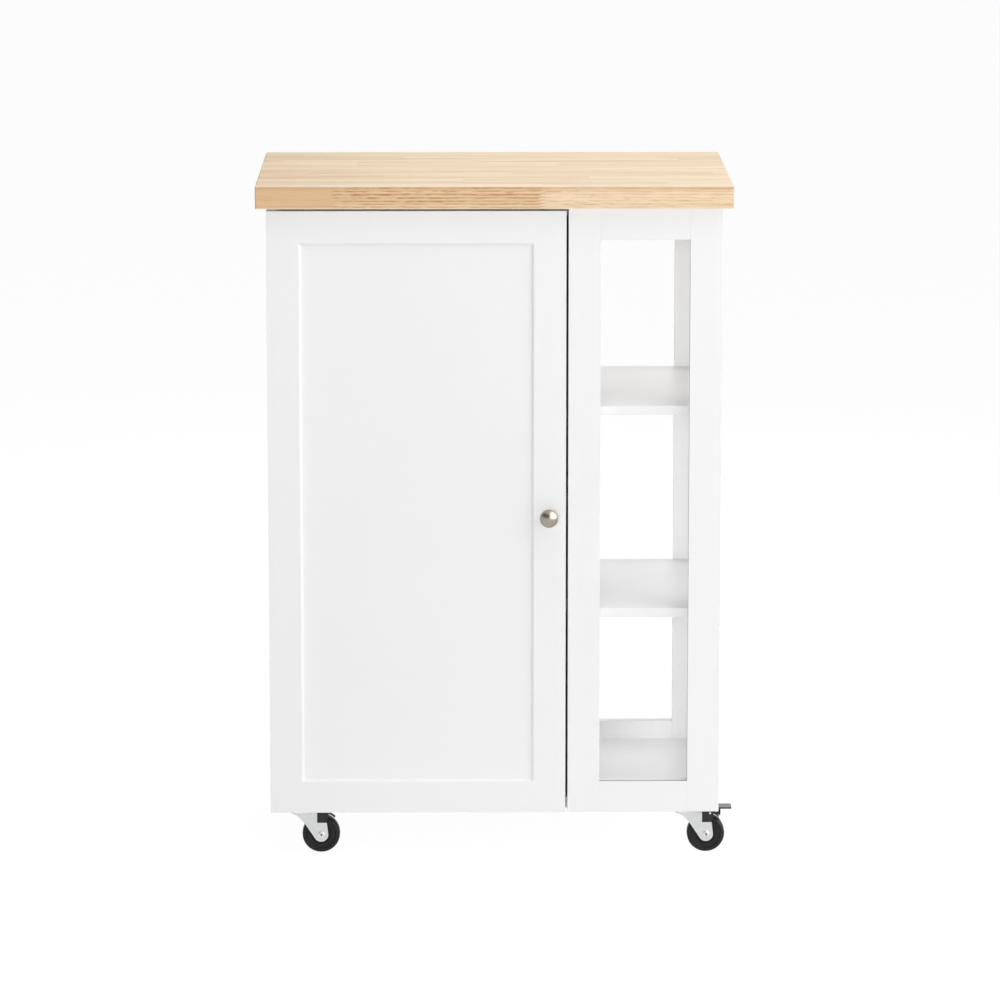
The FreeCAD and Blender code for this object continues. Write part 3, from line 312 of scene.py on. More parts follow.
wood, tree, surface = finish_of("oiled_finger_jointed_rubberwood", IOR=1.47, Specular_IOR_Level=0.15)
place = place_in(tree)
axis = axes(place)
row_place = over(minus(axis["Y"], STAVE_EDGE), STAVE)
row = arithmetic("MAXIMUM", arithmetic("FLOOR", row_place), -1.0)
zigzag = arithmetic("PINGPONG", over(axis["Z"], FINGER), 0.5)
fingers = times(minus(zigzag, 0.25), 4 * FINGER_REACH)
along = plus(minus(axis["X"], FRONT_JOINT), fingers)
shift = arithmetic("FRACT", times(plus(row, 1.0), ROW_SHIFT))
piece_place = plus(over(along, PIECE), shift)
piece = arithmetic("FLOOR", piece_place)
print("staves", round(STAVE / MM), "mm wide of pieces", round(PIECE / MM), "mm long")

# %% [markdown]
# The tone of a piece is a random number that depends only on its row and its piece number, and towards
# the left end the whole top is a little browner. The front edge is the face that a visitor sees first,
# so its three pieces are set one by one: a tan one, a brown one with coarse grain, and a pale one.

# %% Tone of each piece
worktop_low, worktop_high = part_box("worktop")
BROWN_UP_TO, BROWNED = -100 * MM, (0.09, -0.05)
DRAW, DRAWN_TONES = 7.0, (0.05, 0.24)
FRONT_TONE, LEFT_DARKER, RIGHT_PALER = 0.4, 0.16, 0.25
LEFT_SMOOTHNESS, RIGHT_SMOOTHNESS = 0.9, 0.65

number = add(tree, "CombineXYZ", {0: piece, 1: row, 2: DRAW}).outputs[0]
chance = add(tree, "TexWhiteNoise", {"Vector": number}, noise_dimensions="3D").outputs
browned = fade(axis["X"], worktop_low.x, BROWN_UP_TO, *BROWNED)
random_tone = plus(fade(chance["Value"], 0.0, 1.0, *DRAWN_TONES), browned)
on_front = fade(axis["Y"], worktop_low.y + 1.4 * MM, worktop_low.y + 0.6 * MM)
is_left = arithmetic("LESS_THAN", piece_place, 0.0)
is_right = arithmetic("GREATER_THAN", piece_place, 1.0)
front_tone = plus(plus(FRONT_TONE, times(is_left, LEFT_DARKER)), times(is_right, -RIGHT_PALER))
piece_tone = add(tree, "Mix", {0: on_front, 2: random_tone, 3: front_tone}).outputs[0]
smoothness = plus(times(is_left, LEFT_SMOOTHNESS), times(is_right, RIGHT_SMOOTHNESS))
coarse = times(on_front, minus(1.0, smoothness))
tones = (FRONT_TONE + LEFT_DARKER, FRONT_TONE, FRONT_TONE - RIGHT_PALER)
print("tones of the front pieces from left to right:", [round(tone, 2) for tone in tones])

# %% [markdown]
# Grain runs along X. Two stretched noises make it: one slow figure, and one fine enough
# for the fibres. The brown piece at the front was cut across its growth rings, so it gets
# rings about four millimetres apart, which a third noise bends and breaks into dashes.
# Pores are a fourth noise, of which only the peaks stay.

# %% Grain, rings and pores
RING = 4.2 * MM
GRAIN_APART = (9.0, 9.0, 9.0)
FIGURE, FIBRE = (2.6, 44.0, 130.0), (26.0, 620.0, 620.0)
PORE, DASH = (60.0, 620.0, 620.0), (50.0, 75.0, 300.0)


def vector_step(operation, *vectors):
    """One step of arithmetic on vectors. Its outputs are a vector and a value."""
    inputs = dict(enumerate(vectors))
    return add(tree_of(*vectors), "VectorMath", inputs, operation=operation).outputs


grain_shift = vector_step("MULTIPLY", chance["Color"], GRAIN_APART)[0]
own_place = vector_step("ADD", place, grain_shift)[0]
figure = noise(own_place, FIGURE, 3.0, 0.4)
fibre = noise(own_place, FIBRE, 2.0)
pores = fade(noise(own_place, PORE, 1.0), 0.6, 0.72)
dash = noise(own_place, DASH, 2.5, 0.4)
ring_place = plus(over(axis["Z"], RING), plus(figure, times(dash, 0.7)))
rings = fade(arithmetic("PINGPONG", ring_place, 0.5), 0.12, 0.5)
broken = fade(dash, 0.4, 0.6, 0.25, 1.0)
print("growth rings", round(RING / MM, 1), "mm apart on the front")

# %% [markdown]
# The two ends of the slab show end grain: growth rings as arcs round a pith somewhere below
# each stave, so they bend differently from stave to stave, and a glue joint between them.

# %% End grain
END_RING = 3.4 * MM
PITH_ASIDE = 0.4
PITH_LOWEST, PITH_HIGHEST = 790 * MM, 862 * MM

from_middle = arithmetic("ABSOLUTE", axis["X"])
on_end = fade(from_middle, worktop_high.x - 1.6 * MM, worktop_high.x - 0.8 * MM)
draws = add(tree, "SeparateColor", {0: chance["Color"]}).outputs
pith_across = plus(fade(draws[0], 0.0, 1.0, -PITH_ASIDE, PITH_ASIDE), 0.5)
pith_height = fade(draws[1], 0.0, 1.0, PITH_LOWEST, PITH_HIGHEST)
off_pith = times(minus(arithmetic("FRACT", row_place), pith_across), STAVE)
above_pith = minus(axis["Z"], pith_height)
across_grain = add(tree, "CombineXYZ", {0: off_pith, 1: above_pith}).outputs[0]
from_pith = vector_step("LENGTH", across_grain)["Value"]
end_place = plus(over(from_pith, END_RING), fibre)
end_rings = fade(arithmetic("PINGPONG", end_place, 0.5), 0.1, 0.5)
print("growth rings", round(END_RING / MM, 1), "mm apart on the ends")

# %% [markdown]
# The parts are mixed as a joiner would describe them: a pale ground, darker with the tone
# of the piece, streaked by figure and fibre, dotted with pores, with hairline glue joints
# between the rows.

# %% Wood colour
GLUE = 0.5 * MM
PALE, TAN, STREAK = "#F6E3C3", "#CF9B64", "#B98250"
FIGURE_DARK, FIBRE_DARK, RING_DARK, END_DARK, GLUE_DARK = 0.29, 0.16, 0.85, 0.24, 0.22

along_grain = minus(1.0, times(on_end, 0.7))
figure_dark = times(fade(figure, 0.44, 0.68, 0.0, FIGURE_DARK), along_grain)
fibre_dark = fade(fibre, 0.4, 0.75, 0.0, FIBRE_DARK)
ring_dark = times(rings, broken, coarse, RING_DARK)
pore_dark = times(pores, fade(coarse, 0.0, 1.0, 0.12, 0.45))
end_dark = times(end_rings, on_end, END_DARK)
grain_dark = plus(plus(figure_dark, fibre_dark), end_dark)
streaks = arithmetic("ADD", grain_dark, plus(ring_dark, pore_dark), clamp=True)
streaked = blend(streaks, blend(piece_tone, PALE, TAN), STREAK)
from_joint = times(arithmetic("PINGPONG", row_place, 0.5), STAVE)
glued = times(fade(from_joint, 0.0, GLUE, GLUE_DARK, 0.0), minus(1.0, on_front))
jointed = blend(glued, streaked, STREAK)
print("wood so far has", len(tree.nodes), "nodes")

# %% [markdown]
# Towards the front arris the top is painted palest: partly the sanded arris taking the least oil,
# partly a painted highlight on the rounded arris.
# Below the arris oil has gathered in a darker band, and the lower arris is pale again. The
# underside isn't oiled at all and stays as pale as freshly planed wood.

# %% Arrises, oil and underside
SANDED_AND_HIGHLIGHT, OIL, PLANED = "#F4EADA", "#C28D5A", "#F7F1E6"
TOP_HIGHLIGHT, LOW_SANDED, OIL_SHARE, PLANED_SHARE = 0.6, 0.45, 0.3, 0.85

height, top, underside = axis["Z"], worktop_high.z, worktop_low.z
near_top = fade(height, top - 1.8 * MM, top - 0.8 * MM)
# painted highlight, together with the sanded arris: the top is paler within 21 mm of its front edge
near_front = fade(axis["Y"], worktop_low.y + 21 * MM, worktop_low.y + 3 * MM, 0.0, TOP_HIGHLIGHT)
near_bottom = fade(height, underside + 3 * MM, underside + 1 * MM, 0.0, LOW_SANDED)
arris = arithmetic("MAXIMUM", times(near_top, near_front), times(near_bottom, on_front))
band_starts = fade(height, top - 6.5 * MM, top - 3.5 * MM)
band_ends = fade(height, top - 0.6 * MM, top - 1.4 * MM)
band = times(band_starts, band_ends, on_front, OIL_SHARE)
below = arithmetic("LESS_THAN", height, underside + 0.3 * MM)
oiled = blend(band, blend(arris, jointed, SANDED_AND_HIGHLIGHT), OIL)
paint(surface, blend(times(below, PLANED_SHARE), oiled, PLANED))
tree.links.new(fade(fibre, 0.3, 0.8, 0.45, 0.6), surface.inputs["Roughness"])
emboss(surface, minus(fibre, pores), 0.12, 0.2 * MM)
print("made", wood.name, "of", len(tree.nodes), "nodes")

# %% [markdown]
# ## Metals
# Satin nickel on the knob is a warm grey plate over a brushed turning, so its fine rings run round the
# knob's axis and stretch each highlight. Bright zinc on the casters is cooler and faintly clouded by
# the plating bath. The dimple of each rivet is painted dark grey, a painted shade in the hollow. The
# hinges and screws are plain nickel.

# %% Satin nickel, zinc and nickel plate
knob_low, knob_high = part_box("knob")
knob_middle = (knob_low + knob_high) / 2
BRUSHING = 0.25 * MM

satin_nickel, tree, surface = finish_of("brushed_satin_nickel", Metallic=1.0, Roughness=0.3)
place = place_in(tree)
centred = vector_step("SUBTRACT", place, (knob_middle.x, 0.0, knob_middle.z))[0]
flat = vector_step("MULTIPLY", centred, (1.0, 0.0, 1.0))[0]
from_axis = vector_step("LENGTH", flat)["Value"]
turning = add(tree, "CombineXYZ", {0: from_axis, 1: axes(place)["Y"]}).outputs[0]
brushed = noise(turning, 1 / BRUSHING, 2.0)
paint(surface, blend(brushed, "#978F81", "#B3AC9F"))
emboss(surface, brushed, 0.05, 0.05 * MM)


def plated(name, dark, light, cloud, roughness):
    """A plated metal whose tone and gloss drift softly over its surface."""
    metal, tree, surface = finish_of(name, Metallic=1.0)
    clouds = noise(place_in(tree), 1 / cloud, 4.0)
    paint(surface, blend(clouds, dark, light))
    tree.links.new(fade(clouds, 0.0, 1.0, *roughness), surface.inputs["Roughness"])
    emboss(surface, clouds, 0.05, 0.05 * MM)
    return metal


zinc = plated("bright_zinc_plate", "#C8CBCA", "#DCDEDD", 4 * MM, (0.26, 0.42))
# painted shade: a dark grey for the inside of the rivet's dimple
dimple_shade = plated("painted_shade_in_dimple", "#3A3A39", "#4E4E4C", 1 * MM, (0.5, 0.6))
nickel = plated("nickel_plate", "#AFACA6", "#CECBC5", 3 * MM, (0.2, 0.34))
print("made", [metal.name for metal in (satin_nickel, zinc, dimple_shade, nickel)])

# %% [markdown]
# A zinc part's rounded edges are painted near white, a painted highlight along them. The casters' sheet
# lies square to Y, and wherever the surface turns away from Y it is an edge.

# %% Painted highlight on the zinc's edges
HIGHLIGHT_STARTS, HIGHLIGHT_FULL = 0.97, 0.85


def colouring(finish):
    """The surface of a finish, and the output that colours it."""
    surface = finish.node_tree.nodes["Principled BSDF"]
    return surface, surface.inputs["Base Color"].links[0].from_socket


surface, cloudy = colouring(zinc)
facing = axes(add(zinc.node_tree, "TexCoord").outputs["Normal"])["Y"]
# painted highlight: near white where the surface turns away from the sheet
edge = fade(arithmetic("ABSOLUTE", facing), HIGHLIGHT_STARTS, HIGHLIGHT_FULL)
paint(surface, blend(edge, cloudy, "#F4F5F5"))
print("edges shine from", round(math.degrees(math.acos(HIGHLIGHT_STARTS))), "degrees off the sheet")

# %% [markdown]
# ## Plastics
# Wheels are injection-moulded polypropylene, a black that is a little grey and matt where
# it rolls. The brake housings and pedals are glass-filled nylon from an eroded mould, which
# leaves a fine sparkle. The bearing rings are acetal, waxy and off-white, and the catch is
# plain dark grey polystyrene. One maker serves all of them, with grain size and gloss to suit.

# %% Moulded plastics
DULL = 0.22


def moulded(name, dark, light, grit, roughness, depth):
    """A moulded plastic with the fine relief of its mould."""
    plastic, tree, surface = finish_of(name, Roughness=roughness, IOR=1.49)
    relief = noise(place_in(tree), 1 / grit, 2.0)
    paint(surface, blend(relief, dark, light))
    emboss(surface, relief, 0.3, depth)
    return plastic


black_wheel = moulded("moulded_polypropylene", "#1C1C1C", "#2A2A2A", 0.9 * MM, 0.4, 0.05 * MM)
# painted shade: a darker black for the wheel's core round the hub
wheel_core_shade = moulded("moulded_polypropylene_core_shade", "#0E0E0E", "#181818", 0.9 * MM, 0.5, 0.05 * MM)
black_nylon = moulded("glass_filled_nylon", "#262626", "#343434", 0.5 * MM, 0.36, 0.06 * MM)
grey_nylon = moulded("glass_filled_nylon_pale_tread", "#1C1C1C", "#2A2A2A", 0.5 * MM, 0.5, 0.06 * MM)
BLACKS = (black_wheel, wheel_core_shade, black_nylon, grey_nylon)
for black in BLACKS:
    black.node_tree.nodes["Principled BSDF"].inputs["Specular IOR Level"].default_value = DULL
acetal = moulded("acetal", "#D9D8D2", "#E6E5E0", 1.5 * MM, 0.35, 0.02 * MM)
grey_styrene = moulded("grey_polystyrene", "#3E3E3D", "#4A4A49", 1.5 * MM, 0.4, 0.02 * MM)
print("made", len(BLACKS), "blacks,", acetal.name, "and", grey_styrene.name)

# %% [markdown]
# The top of a brake pedal is painted a paler grey than the black skin, with grooves across that keep a
# sole from slipping.

# %% Pale pedal tread
TREAD_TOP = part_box("front_right_brake_pedal")[1].z
GROOVES = 2.4 * MM
surface, dark = colouring(grey_nylon)
axis = axes(place_in(grey_nylon.node_tree))
on_tread = fade(axis["Z"], TREAD_TOP - 0.6 * MM, TREAD_TOP - 0.3 * MM)
groove = fade(arithmetic("PINGPONG", over(axis["X"], GROOVES), 0.5), 0.0, 0.16)
pale_tread = times(on_tread, fade(groove, 0.0, 1.0, 0.75, 1.0))
paint(surface, blend(pale_tread, dark, "#828282"))
print("tread worn at a height of", round(TREAD_TOP / MM, 1), "mm")

# %% [markdown]
# ## Finishes on the solids
# Boards keep their solids. A real board is never razor sharp: its arrises are broken with
# sandpaper and the lacquer rounds them further. A narrow bevel does that, after the flat
# triangles of the solid are merged, and it also draws the fine seams where stile and rail
# meet. Most small parts are shaded smooth over their bevel as well.

# %% Broken edges
WELD = 0.01 * MM
FLAT, SHARP, SMOOTH = math.radians(1.0), math.radians(40), math.radians(35)


def select_only(*pieces):
    """Nothing else selected, and the last piece active."""
    bpy.ops.object.select_all(action="DESELECT")
    for piece in pieces:
        piece.select_set(True)
        bpy.context.view_layer.objects.active = piece


def soften(node, width, smooth=False):
    """Broken edges on a solid, by modifiers that leave its own mesh alone."""
    piece = CAD_NODES[node]
    weld = piece.modifiers.new("weld", "WELD")
    weld.merge_threshold = WELD
    flats = piece.modifiers.new("flats", "DECIMATE")
    flats.decimate_type = "DISSOLVE"
    flats.angle_limit = FLAT
    bevel = piece.modifiers.new("arris", "BEVEL")
    bevel.width = width
    bevel.segments = 2
    bevel.limit_method = "ANGLE"
    bevel.angle_limit = SHARP
    if smooth:
        select_only(piece)
        bpy.ops.object.shade_smooth_by_angle(angle=SMOOTH)
        weighted = piece.modifiers.new("flat_faces", "WEIGHTED_NORMAL")
        weighted.keep_sharp = True


def dress(node, finish):
    """Gives a node of solids its finish."""
    mesh = CAD_NODES[node].data
    mesh.materials.clear()
    mesh.materials.append(finish)


print("edges that turn by more than", round(math.degrees(SHARP)), "degrees will be broken")

# %% [markdown]
# The boards come in three whites: one for the door, the left side and the open shelves, one for the
# front frame with its lines of painted shade, and a brighter one for all the other boards, painted
# lighter to make up for their shade.

# %% Dress the boards
BOARD_EDGE = 0.5 * MM
BOARDS = [
    (lacquer, ("left_side_panel", "door_panel", "upper_open_shelf", "lower_open_shelf")),
    (frame_lacquer_shaded, ("front_stiles", "front_rails")),
    # painted light: these boards get the brighter lacquer to make up for their shade
    (lacquer_painted_lighter, ("partition_panel", "bottom_panel", "front_stretcher", "rear_stretcher")),
    (lacquer_painted_lighter, ("upper_cabinet_shelf", "lower_cabinet_shelf", "back_stiles", "back_rails")),
    (lacquer_painted_lighter, ("end_stiles", "end_rails")),
]
for finish, nodes in BOARDS:
    for node in nodes:
        dress(node, finish)
        soften(node, BOARD_EDGE)
dress("worktop", wood)
dress("back_panel", foil)
print("dressed", sum(len(nodes) for finish, nodes in BOARDS), "nodes of boards, worktop and back")

# %% [markdown]
# The fittings are bent, stamped or moulded, and each kind has edges of its own roundness.
# Every caster has a fork and a hood, and two have a brake pedal on a pin as well. The
# ending of a name says which part it is.

# %% Dress the fittings
NICKELLED = ("hinge_cups", "hinge_arms", "hinge_plates", "hinge_pins", "shelf_pins", "strike_plate")
CASTER_PARTS = {
    "_fork": (zinc, 0.9 * MM),
    "_hood": (black_nylon, 1.1 * MM),
    "_brake_pedal": (grey_nylon, 0.4 * MM),
    "_pedal_pin": (zinc, 0.3 * MM),
}
CASTERS = [node[:-len("_wheel")] for node in CAD_NODES if node.endswith("_wheel")]

fittings = {node: (nickel, 0.25 * MM) for node in NICKELLED}
fittings["caster_plates"] = (zinc, 0.3 * MM)
for ending, look in CASTER_PARTS.items():
    fittings.update({node: look for node in CAD_NODES if node.endswith(ending)})
for node, (finish, width) in fittings.items():
    dress(node, finish)
    soften(node, width, smooth=True)
dress("swivel_rings", acetal)
dress("catch_body", grey_styrene)
soften("catch_body", 0.8 * MM)
print("dressed", len(fittings) + 2, "nodes of fittings, those of", len(CASTERS), "casters among them")

# %% [markdown]
# ## Turned pieces
# Knob, wheels, rivets and screws are all turned or moulded round an axis, so each is drawn
# as a profile first. A profile is a list of points, each with its place along the axis and
# its distance from it. Rounded corners are arcs, and a symmetrical piece needs only a half.

# %% Profiles
def arc(middle, radius, start, end, steps):
    """Profile points round a middle, from one angle to another."""
    points = []
    for step in range(steps + 1):
        angle = math.radians(start + (end - start) * step / steps)
        points.append((middle[0] + radius * math.cos(angle), middle[1] + radius * math.sin(angle)))
    return points


def mirrored(half):
    """The other half of a profile, from its end back to its start."""
    return [(-along, wide) for along, wide in reversed(half)]


print("a quarter of a circle:", [(round(x, 2), round(y, 2)) for x, y in arc((0, 0), 1, 0, 90, 3)])

# %% [markdown]
# By hand, a turned piece starts as a circle, and each step of its profile is an extrusion
# that is moved along the axis and scaled. The lathe below does exactly that, at the origin
# where numbers are most exact, and then sets the piece in its place.

# %% Lathe
TINY = 1e-6


def facing_to(direction):
    """The turn that carries Z to a direction."""
    return Vector(direction).to_track_quat("Z", "Y").to_matrix().to_4x4()


def lathe(name, profile, middle=(0, 0, 0), direction=(0, 0, 1), sides=64):
    """A turned piece: a circle that is drawn out through the profile, step by step."""
    bpy.ops.object.select_all(action="DESELECT")
    profile = [(along, max(wide, TINY)) for along, wide in profile]
    start, width = profile[0]
    bpy.ops.mesh.primitive_circle_add(vertices=sides, radius=width, location=(0, 0, start))
    piece = bpy.context.object
    piece.name = name
    bpy.ops.object.transform_apply(location=True, rotation=True, scale=True)
    bpy.ops.object.mode_set(mode="EDIT")
    bpy.ops.mesh.select_all(action="SELECT")
    for (was, wide), (now, wider) in zip(profile, profile[1:]):
        bpy.ops.mesh.extrude_region_move(TRANSFORM_OT_translate={"value": (0, 0, now - was)})
        factor = wider / wide
        bpy.ops.transform.resize(value=(factor, factor, 1.0), center_override=(0, 0, now))
    bpy.ops.mesh.select_all(action="SELECT")
    bpy.ops.mesh.remove_doubles(threshold=2 * TINY)
    bpy.ops.mesh.normals_make_consistent(inside=False)
    bpy.ops.object.mode_set(mode="OBJECT")
    piece.matrix_world = Matrix.Translation(middle) @ facing_to(direction)
    bpy.ops.object.transform_apply(location=True, rotation=True, scale=True)
    bpy.ops.object.shade_smooth_by_angle(angle=SMOOTH)
    return piece


print("the lathe merges points that are closer than", round(2 * TINY / MM, 4), "mm")

# %% [markdown]
# A new piece is handed over with its finish, the body that it rides on and the solids that it stands
# for. Some pieces are darker round their axis.

# %% Hand over a piece
def hand_over(piece, body, finish, slot, *nodes):
    """Finish, body and the solids that a new piece stands for. The slot argument is not used."""
    piece.data.materials.clear()
    piece.data.materials.append(finish)
    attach(piece, body)
    if nodes:
        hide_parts(*nodes)


def refinish_core(piece, middle, radius, finish):
    """A second finish on the faces whose middle is within a radius of the axis along Y."""
    piece.data.materials.append(finish)
    for face in piece.data.polygons:
        off_axis = face.center - Vector(middle)
        if math.hypot(off_axis.x, off_axis.z) < radius:
            face.material_index = 1


print("new pieces will ride on the cart, its door and its", len(CASTERS), "casters")

# %% [markdown]
# ## Knob
# The knob is turned brass, brushed and nickel-plated: a small foot on the door, a waisted
# neck that the fingers reach behind, a rolled rim and a shallow dome. The solid has the
# same profile in straight bands, and arcs round off its foot, rim and dome. Each point of
# the neck says, in millimetres, how far it stands off the door and outside the waist.

# %% Turn the knob
KNOB_RADIUS = (knob_high.x - knob_low.x) / 2
KNOB_REACH = 26 * MM
FOOT, FOOT_EDGE = 7 * MM, 0.6 * MM
WAIST = 4.5 * MM
NECK = ((2.1, 0.9), (3.2, 0.2), (5.0, -0.1), (7.5, 0.1), (10.0, 1.2), (12.3, 3.2), (14.4, 5.4))
DOME, DOME_EDGE = 13.9 * MM, 0.6 * MM
RIM, RIM_HEIGHT = 2.2 * MM, 17.4 * MM

dome_angle = math.degrees(math.asin((KNOB_RADIUS - DOME_EDGE) / DOME))
knob_profile = [(0, 0), (0, FOOT - 0.5 * MM)]
knob_profile += arc((FOOT_EDGE, FOOT - FOOT_EDGE), FOOT_EDGE, 180, 90, 4)[1:]
knob_profile += arc((1.3 * MM, FOOT - FOOT_EDGE), FOOT_EDGE, 90, 20, 4)
knob_profile += [(along * MM, WAIST + wider * MM) for along, wider in NECK]
knob_profile += arc((RIM_HEIGHT, KNOB_RADIUS - RIM), RIM, 150, 68, 8)
knob_profile += arc((KNOB_REACH - DOME, 0), DOME, dome_angle, 0, 16)
knob_seat = (knob_middle.x, knob_low.y + KNOB_REACH, knob_middle.z)
knob = lathe("knob_turned", knob_profile, knob_seat, (0, -1, 0), sides=96)
hand_over(knob, "door", satin_nickel, "satin_nickel", "knob")
print("knob", [round(v / MM, 1) for v in knob.dimensions])

# %% [markdown]
# ## Caster wheels
# Each wheel is one black moulding with a rounded tread, a dished side inside a raised rim and a long
# hub that runs on the axle. A hairline ridge goes round the middle of the tread, where the two halves
# of the mould meet. The core round the hub is painted darker than the rim, a painted shade for the
# fork's shadow on the wheel, so those faces get a finish of their own.

# %% Mould a wheel
WHEEL_WIDTH = 18 * MM
RIM_SHARE, HUB_SHARE = 0.78, 0.36
DISH, DISH_SAG = 2 * MM, 0.3 * MM
SOFT_EDGE, TREAD_ROUND = 0.6 * MM, 3.5 * MM
BORE = 3.06 * MM
PARTING, PARTING_FOOT, PARTING_TOP = 0.12 * MM, 0.4 * MM, 0.15 * MM
DARK_CORE = 0.5


def wheel_half(radius, hub_end):
    """Half of the profile, from the bore out to the middle of the tread."""
    side, soft = WHEEL_WIDTH / 2, SOFT_EDGE
    dish = side - DISH
    rim, hub = RIM_SHARE * radius, HUB_SHARE * radius
    points = [(hub_end, BORE), (hub_end, hub - soft)]
    points += arc((hub_end - soft, hub - soft), soft, 0, 90, 3)
    points += arc((dish + soft, hub + soft), soft, 270, 180, 3)
    points += [(dish - DISH_SAG, (hub + rim) / 2)]
    points += arc((dish + soft, rim - soft), soft, 180, 90, 3)
    points += arc((side - soft, rim + soft), soft, 270, 360, 3)
    points += arc((side - TREAD_ROUND, radius - TREAD_ROUND), TREAD_ROUND, 0, 90, 7)
    points += [(PARTING_FOOT, radius - PARTING), (PARTING_TOP, radius)]
    return points


for caster in CASTERS:
    low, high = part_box(caster + "_wheel")
    radius = (high.z - low.z) / 2
    half = wheel_half(radius, (high.y - low.y) / 2)
    profile = half + mirrored(half)
    profile.append(profile[0])
    wheel = lathe(caster + "_wheel_moulding", profile, (low + high) / 2, (0, 1, 0), sides=72)
    hand_over(wheel, caster + "_roller", black_wheel, "black_wheel", caster + "_wheel")
    # painted shade: the faces round the hub get the darker black
    refinish_core(wheel, (low + high) / 2, DARK_CORE * radius, wheel_core_shade)
    print(caster, "wheel", [round(v / MM, 1) for v in wheel.dimensions])

# %% [markdown]
# ## Axle rivets
# The wheel runs on a steel rivet. The press that closes it leaves a low dome on each end with a dimple
# in its middle. The dimple is painted dark grey, a painted shade that shows as a dark dot on the fork.

# %% Rivets
RIVET, RIVET_HEAD, HEAD_HEIGHT = 3 * MM, 4.5 * MM, 1.4 * MM
HEAD_LIP, HEAD_DOME = 0.3 * MM, 1.0 * MM
DIMPLE, DIMPLE_DEPTH, DIMPLE_FLOOR = 1.3 * MM, 1.0 * MM, 0.5 * MM


def rivet_end(end):
    """Half of the rivet's profile, from its shank out over the head and into the dimple."""
    neck = end - HEAD_HEIGHT
    points = [(neck, RIVET), (neck, RIVET_HEAD - HEAD_LIP)]
    points += arc((neck + HEAD_LIP, RIVET_HEAD - HEAD_LIP), HEAD_LIP, 180, 90, 2)[1:]
    points += arc((end - HEAD_DOME, RIVET_HEAD - HEAD_DOME), HEAD_DOME, 90, 0, 5)
    points += [(end, DIMPLE + 0.3 * MM), (end - 0.12 * MM, DIMPLE)]
    points += [(end - DIMPLE_DEPTH, DIMPLE_FLOOR), (end - DIMPLE_DEPTH, 0)]
    return points


for caster in CASTERS:
    low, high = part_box(caster + "_axle")
    half = rivet_end((high.y - low.y) / 2)
    rivet = lathe(caster + "_axle_rivet", mirrored(half) + half, (low + high) / 2, (0, 1, 0), sides=40)
    hand_over(rivet, caster + "_swivel", zinc, "zinc_plated_steel", caster + "_axle")
    # painted shade: the dimple's faces get the dark grey finish
    refinish_core(rivet, (low + high) / 2, DIMPLE, dimple_shade)
    print(caster, "rivet", [round(v / MM, 1) for v in rivet.dimensions])

# %% [markdown]
# ## Screws
# All the screws have a low pan head with a cross recess. A punch with a crossed pair of
# tapered blades makes that recess, so one such blade is modelled first.

# %% Blade of the punch
SCREW_HEAD_HEIGHT = 1.6 * MM
BLADE = (3.6 * MM, 0.8 * MM, 2.2 * MM)
BLADE_TAPER = 0.55


def blade(turn):
    """One blade of the punch: a box that tapers downwards."""
    bpy.ops.object.select_all(action="DESELECT")
    bpy.ops.mesh.primitive_cube_add(size=1.0, location=(0, 0, SCREW_HEAD_HEIGHT), rotation=(0, 0, turn))
    cutter = bpy.context.object
    cutter.scale = BLADE
    bpy.ops.object.transform_apply(location=True, rotation=True, scale=True)
    low = min(corner.co.z for corner in cutter.data.vertices)
    bpy.ops.object.mode_set(mode="EDIT")
    bpy.ops.mesh.select_all(action="DESELECT")
    bpy.ops.object.mode_set(mode="OBJECT")
    for corner in cutter.data.vertices:
        corner.select = corner.co.z < low + TINY
    bpy.ops.object.mode_set(mode="EDIT")
    bpy.ops.transform.resize(value=(BLADE_TAPER, BLADE_TAPER, 1.0), center_override=(0, 0, low))
    bpy.ops.object.mode_set(mode="OBJECT")
    return cutter


print("blades will be", round(BLADE[0] / MM, 1), "mm wide and", round(BLADE[1] / MM, 1), "mm thick")

# %% [markdown]
# One screw is modelled with its head up and its seat at the origin, and two blades cut the
# recess out of the head, one after the other.

# %% One screw
SCREW_HEAD, SCREW_HEAD_EDGE, SCREW_HEAD_ROUND = 3.4 * MM, 0.2 * MM, 1.1 * MM
SCREW_SHANK, SCREW_POINT = 1.6 * MM, 2.2 * MM


def pan_screw(length):
    """A pan-head screw along Z: head from 0 up, shank from 0 down to its point."""
    head_middle = (SCREW_HEAD_HEIGHT - SCREW_HEAD_ROUND, SCREW_HEAD - SCREW_HEAD_ROUND)
    profile = [(-length, 0), (-length + SCREW_POINT, SCREW_SHANK), (0, SCREW_SHANK)]
    profile += [(0, SCREW_HEAD - SCREW_HEAD_EDGE), (SCREW_HEAD_EDGE, SCREW_HEAD)]
    profile += arc(head_middle, SCREW_HEAD_ROUND, 80, 0, 5)
    profile += [(SCREW_HEAD_HEIGHT, 0)]
    screw = lathe("pan_screw", profile, sides=24)
    for turn in (0.0, math.pi / 2):
        cutter = blade(turn)
        select_only(screw)
        cross = screw.modifiers.new("recess", "BOOLEAN")
        cross.operation = "DIFFERENCE"
        cross.solver = "EXACT"
        cross.object = cutter
        bpy.ops.object.modifier_apply(modifier=cross.name)
        bpy.data.objects.remove(cutter)
    return screw


print("screw heads will be", round(2 * SCREW_HEAD / MM, 1), "mm wide")

# %% [markdown]
# The solids say where the screws go. A node's separate solids are found by walking from
# corner to corner along its edges, on a merged copy, and each gives the box of one screw.

# %% Boxes of the separate solids of a node
SCREWS = {
    "caster_screws": ("cart", (0, 0, -1)),
    "worktop_screws": ("cart", (0, 0, -1)),
    "hinge_plate_screws": ("cart", (1, 0, 0)),
    "catch_screws": ("cart", (-1, 0, 0)),
    "hinge_cup_screws": ("door", (0, 1, 0)),
    "knob_screw": ("door", (0, 1, 0)),
}


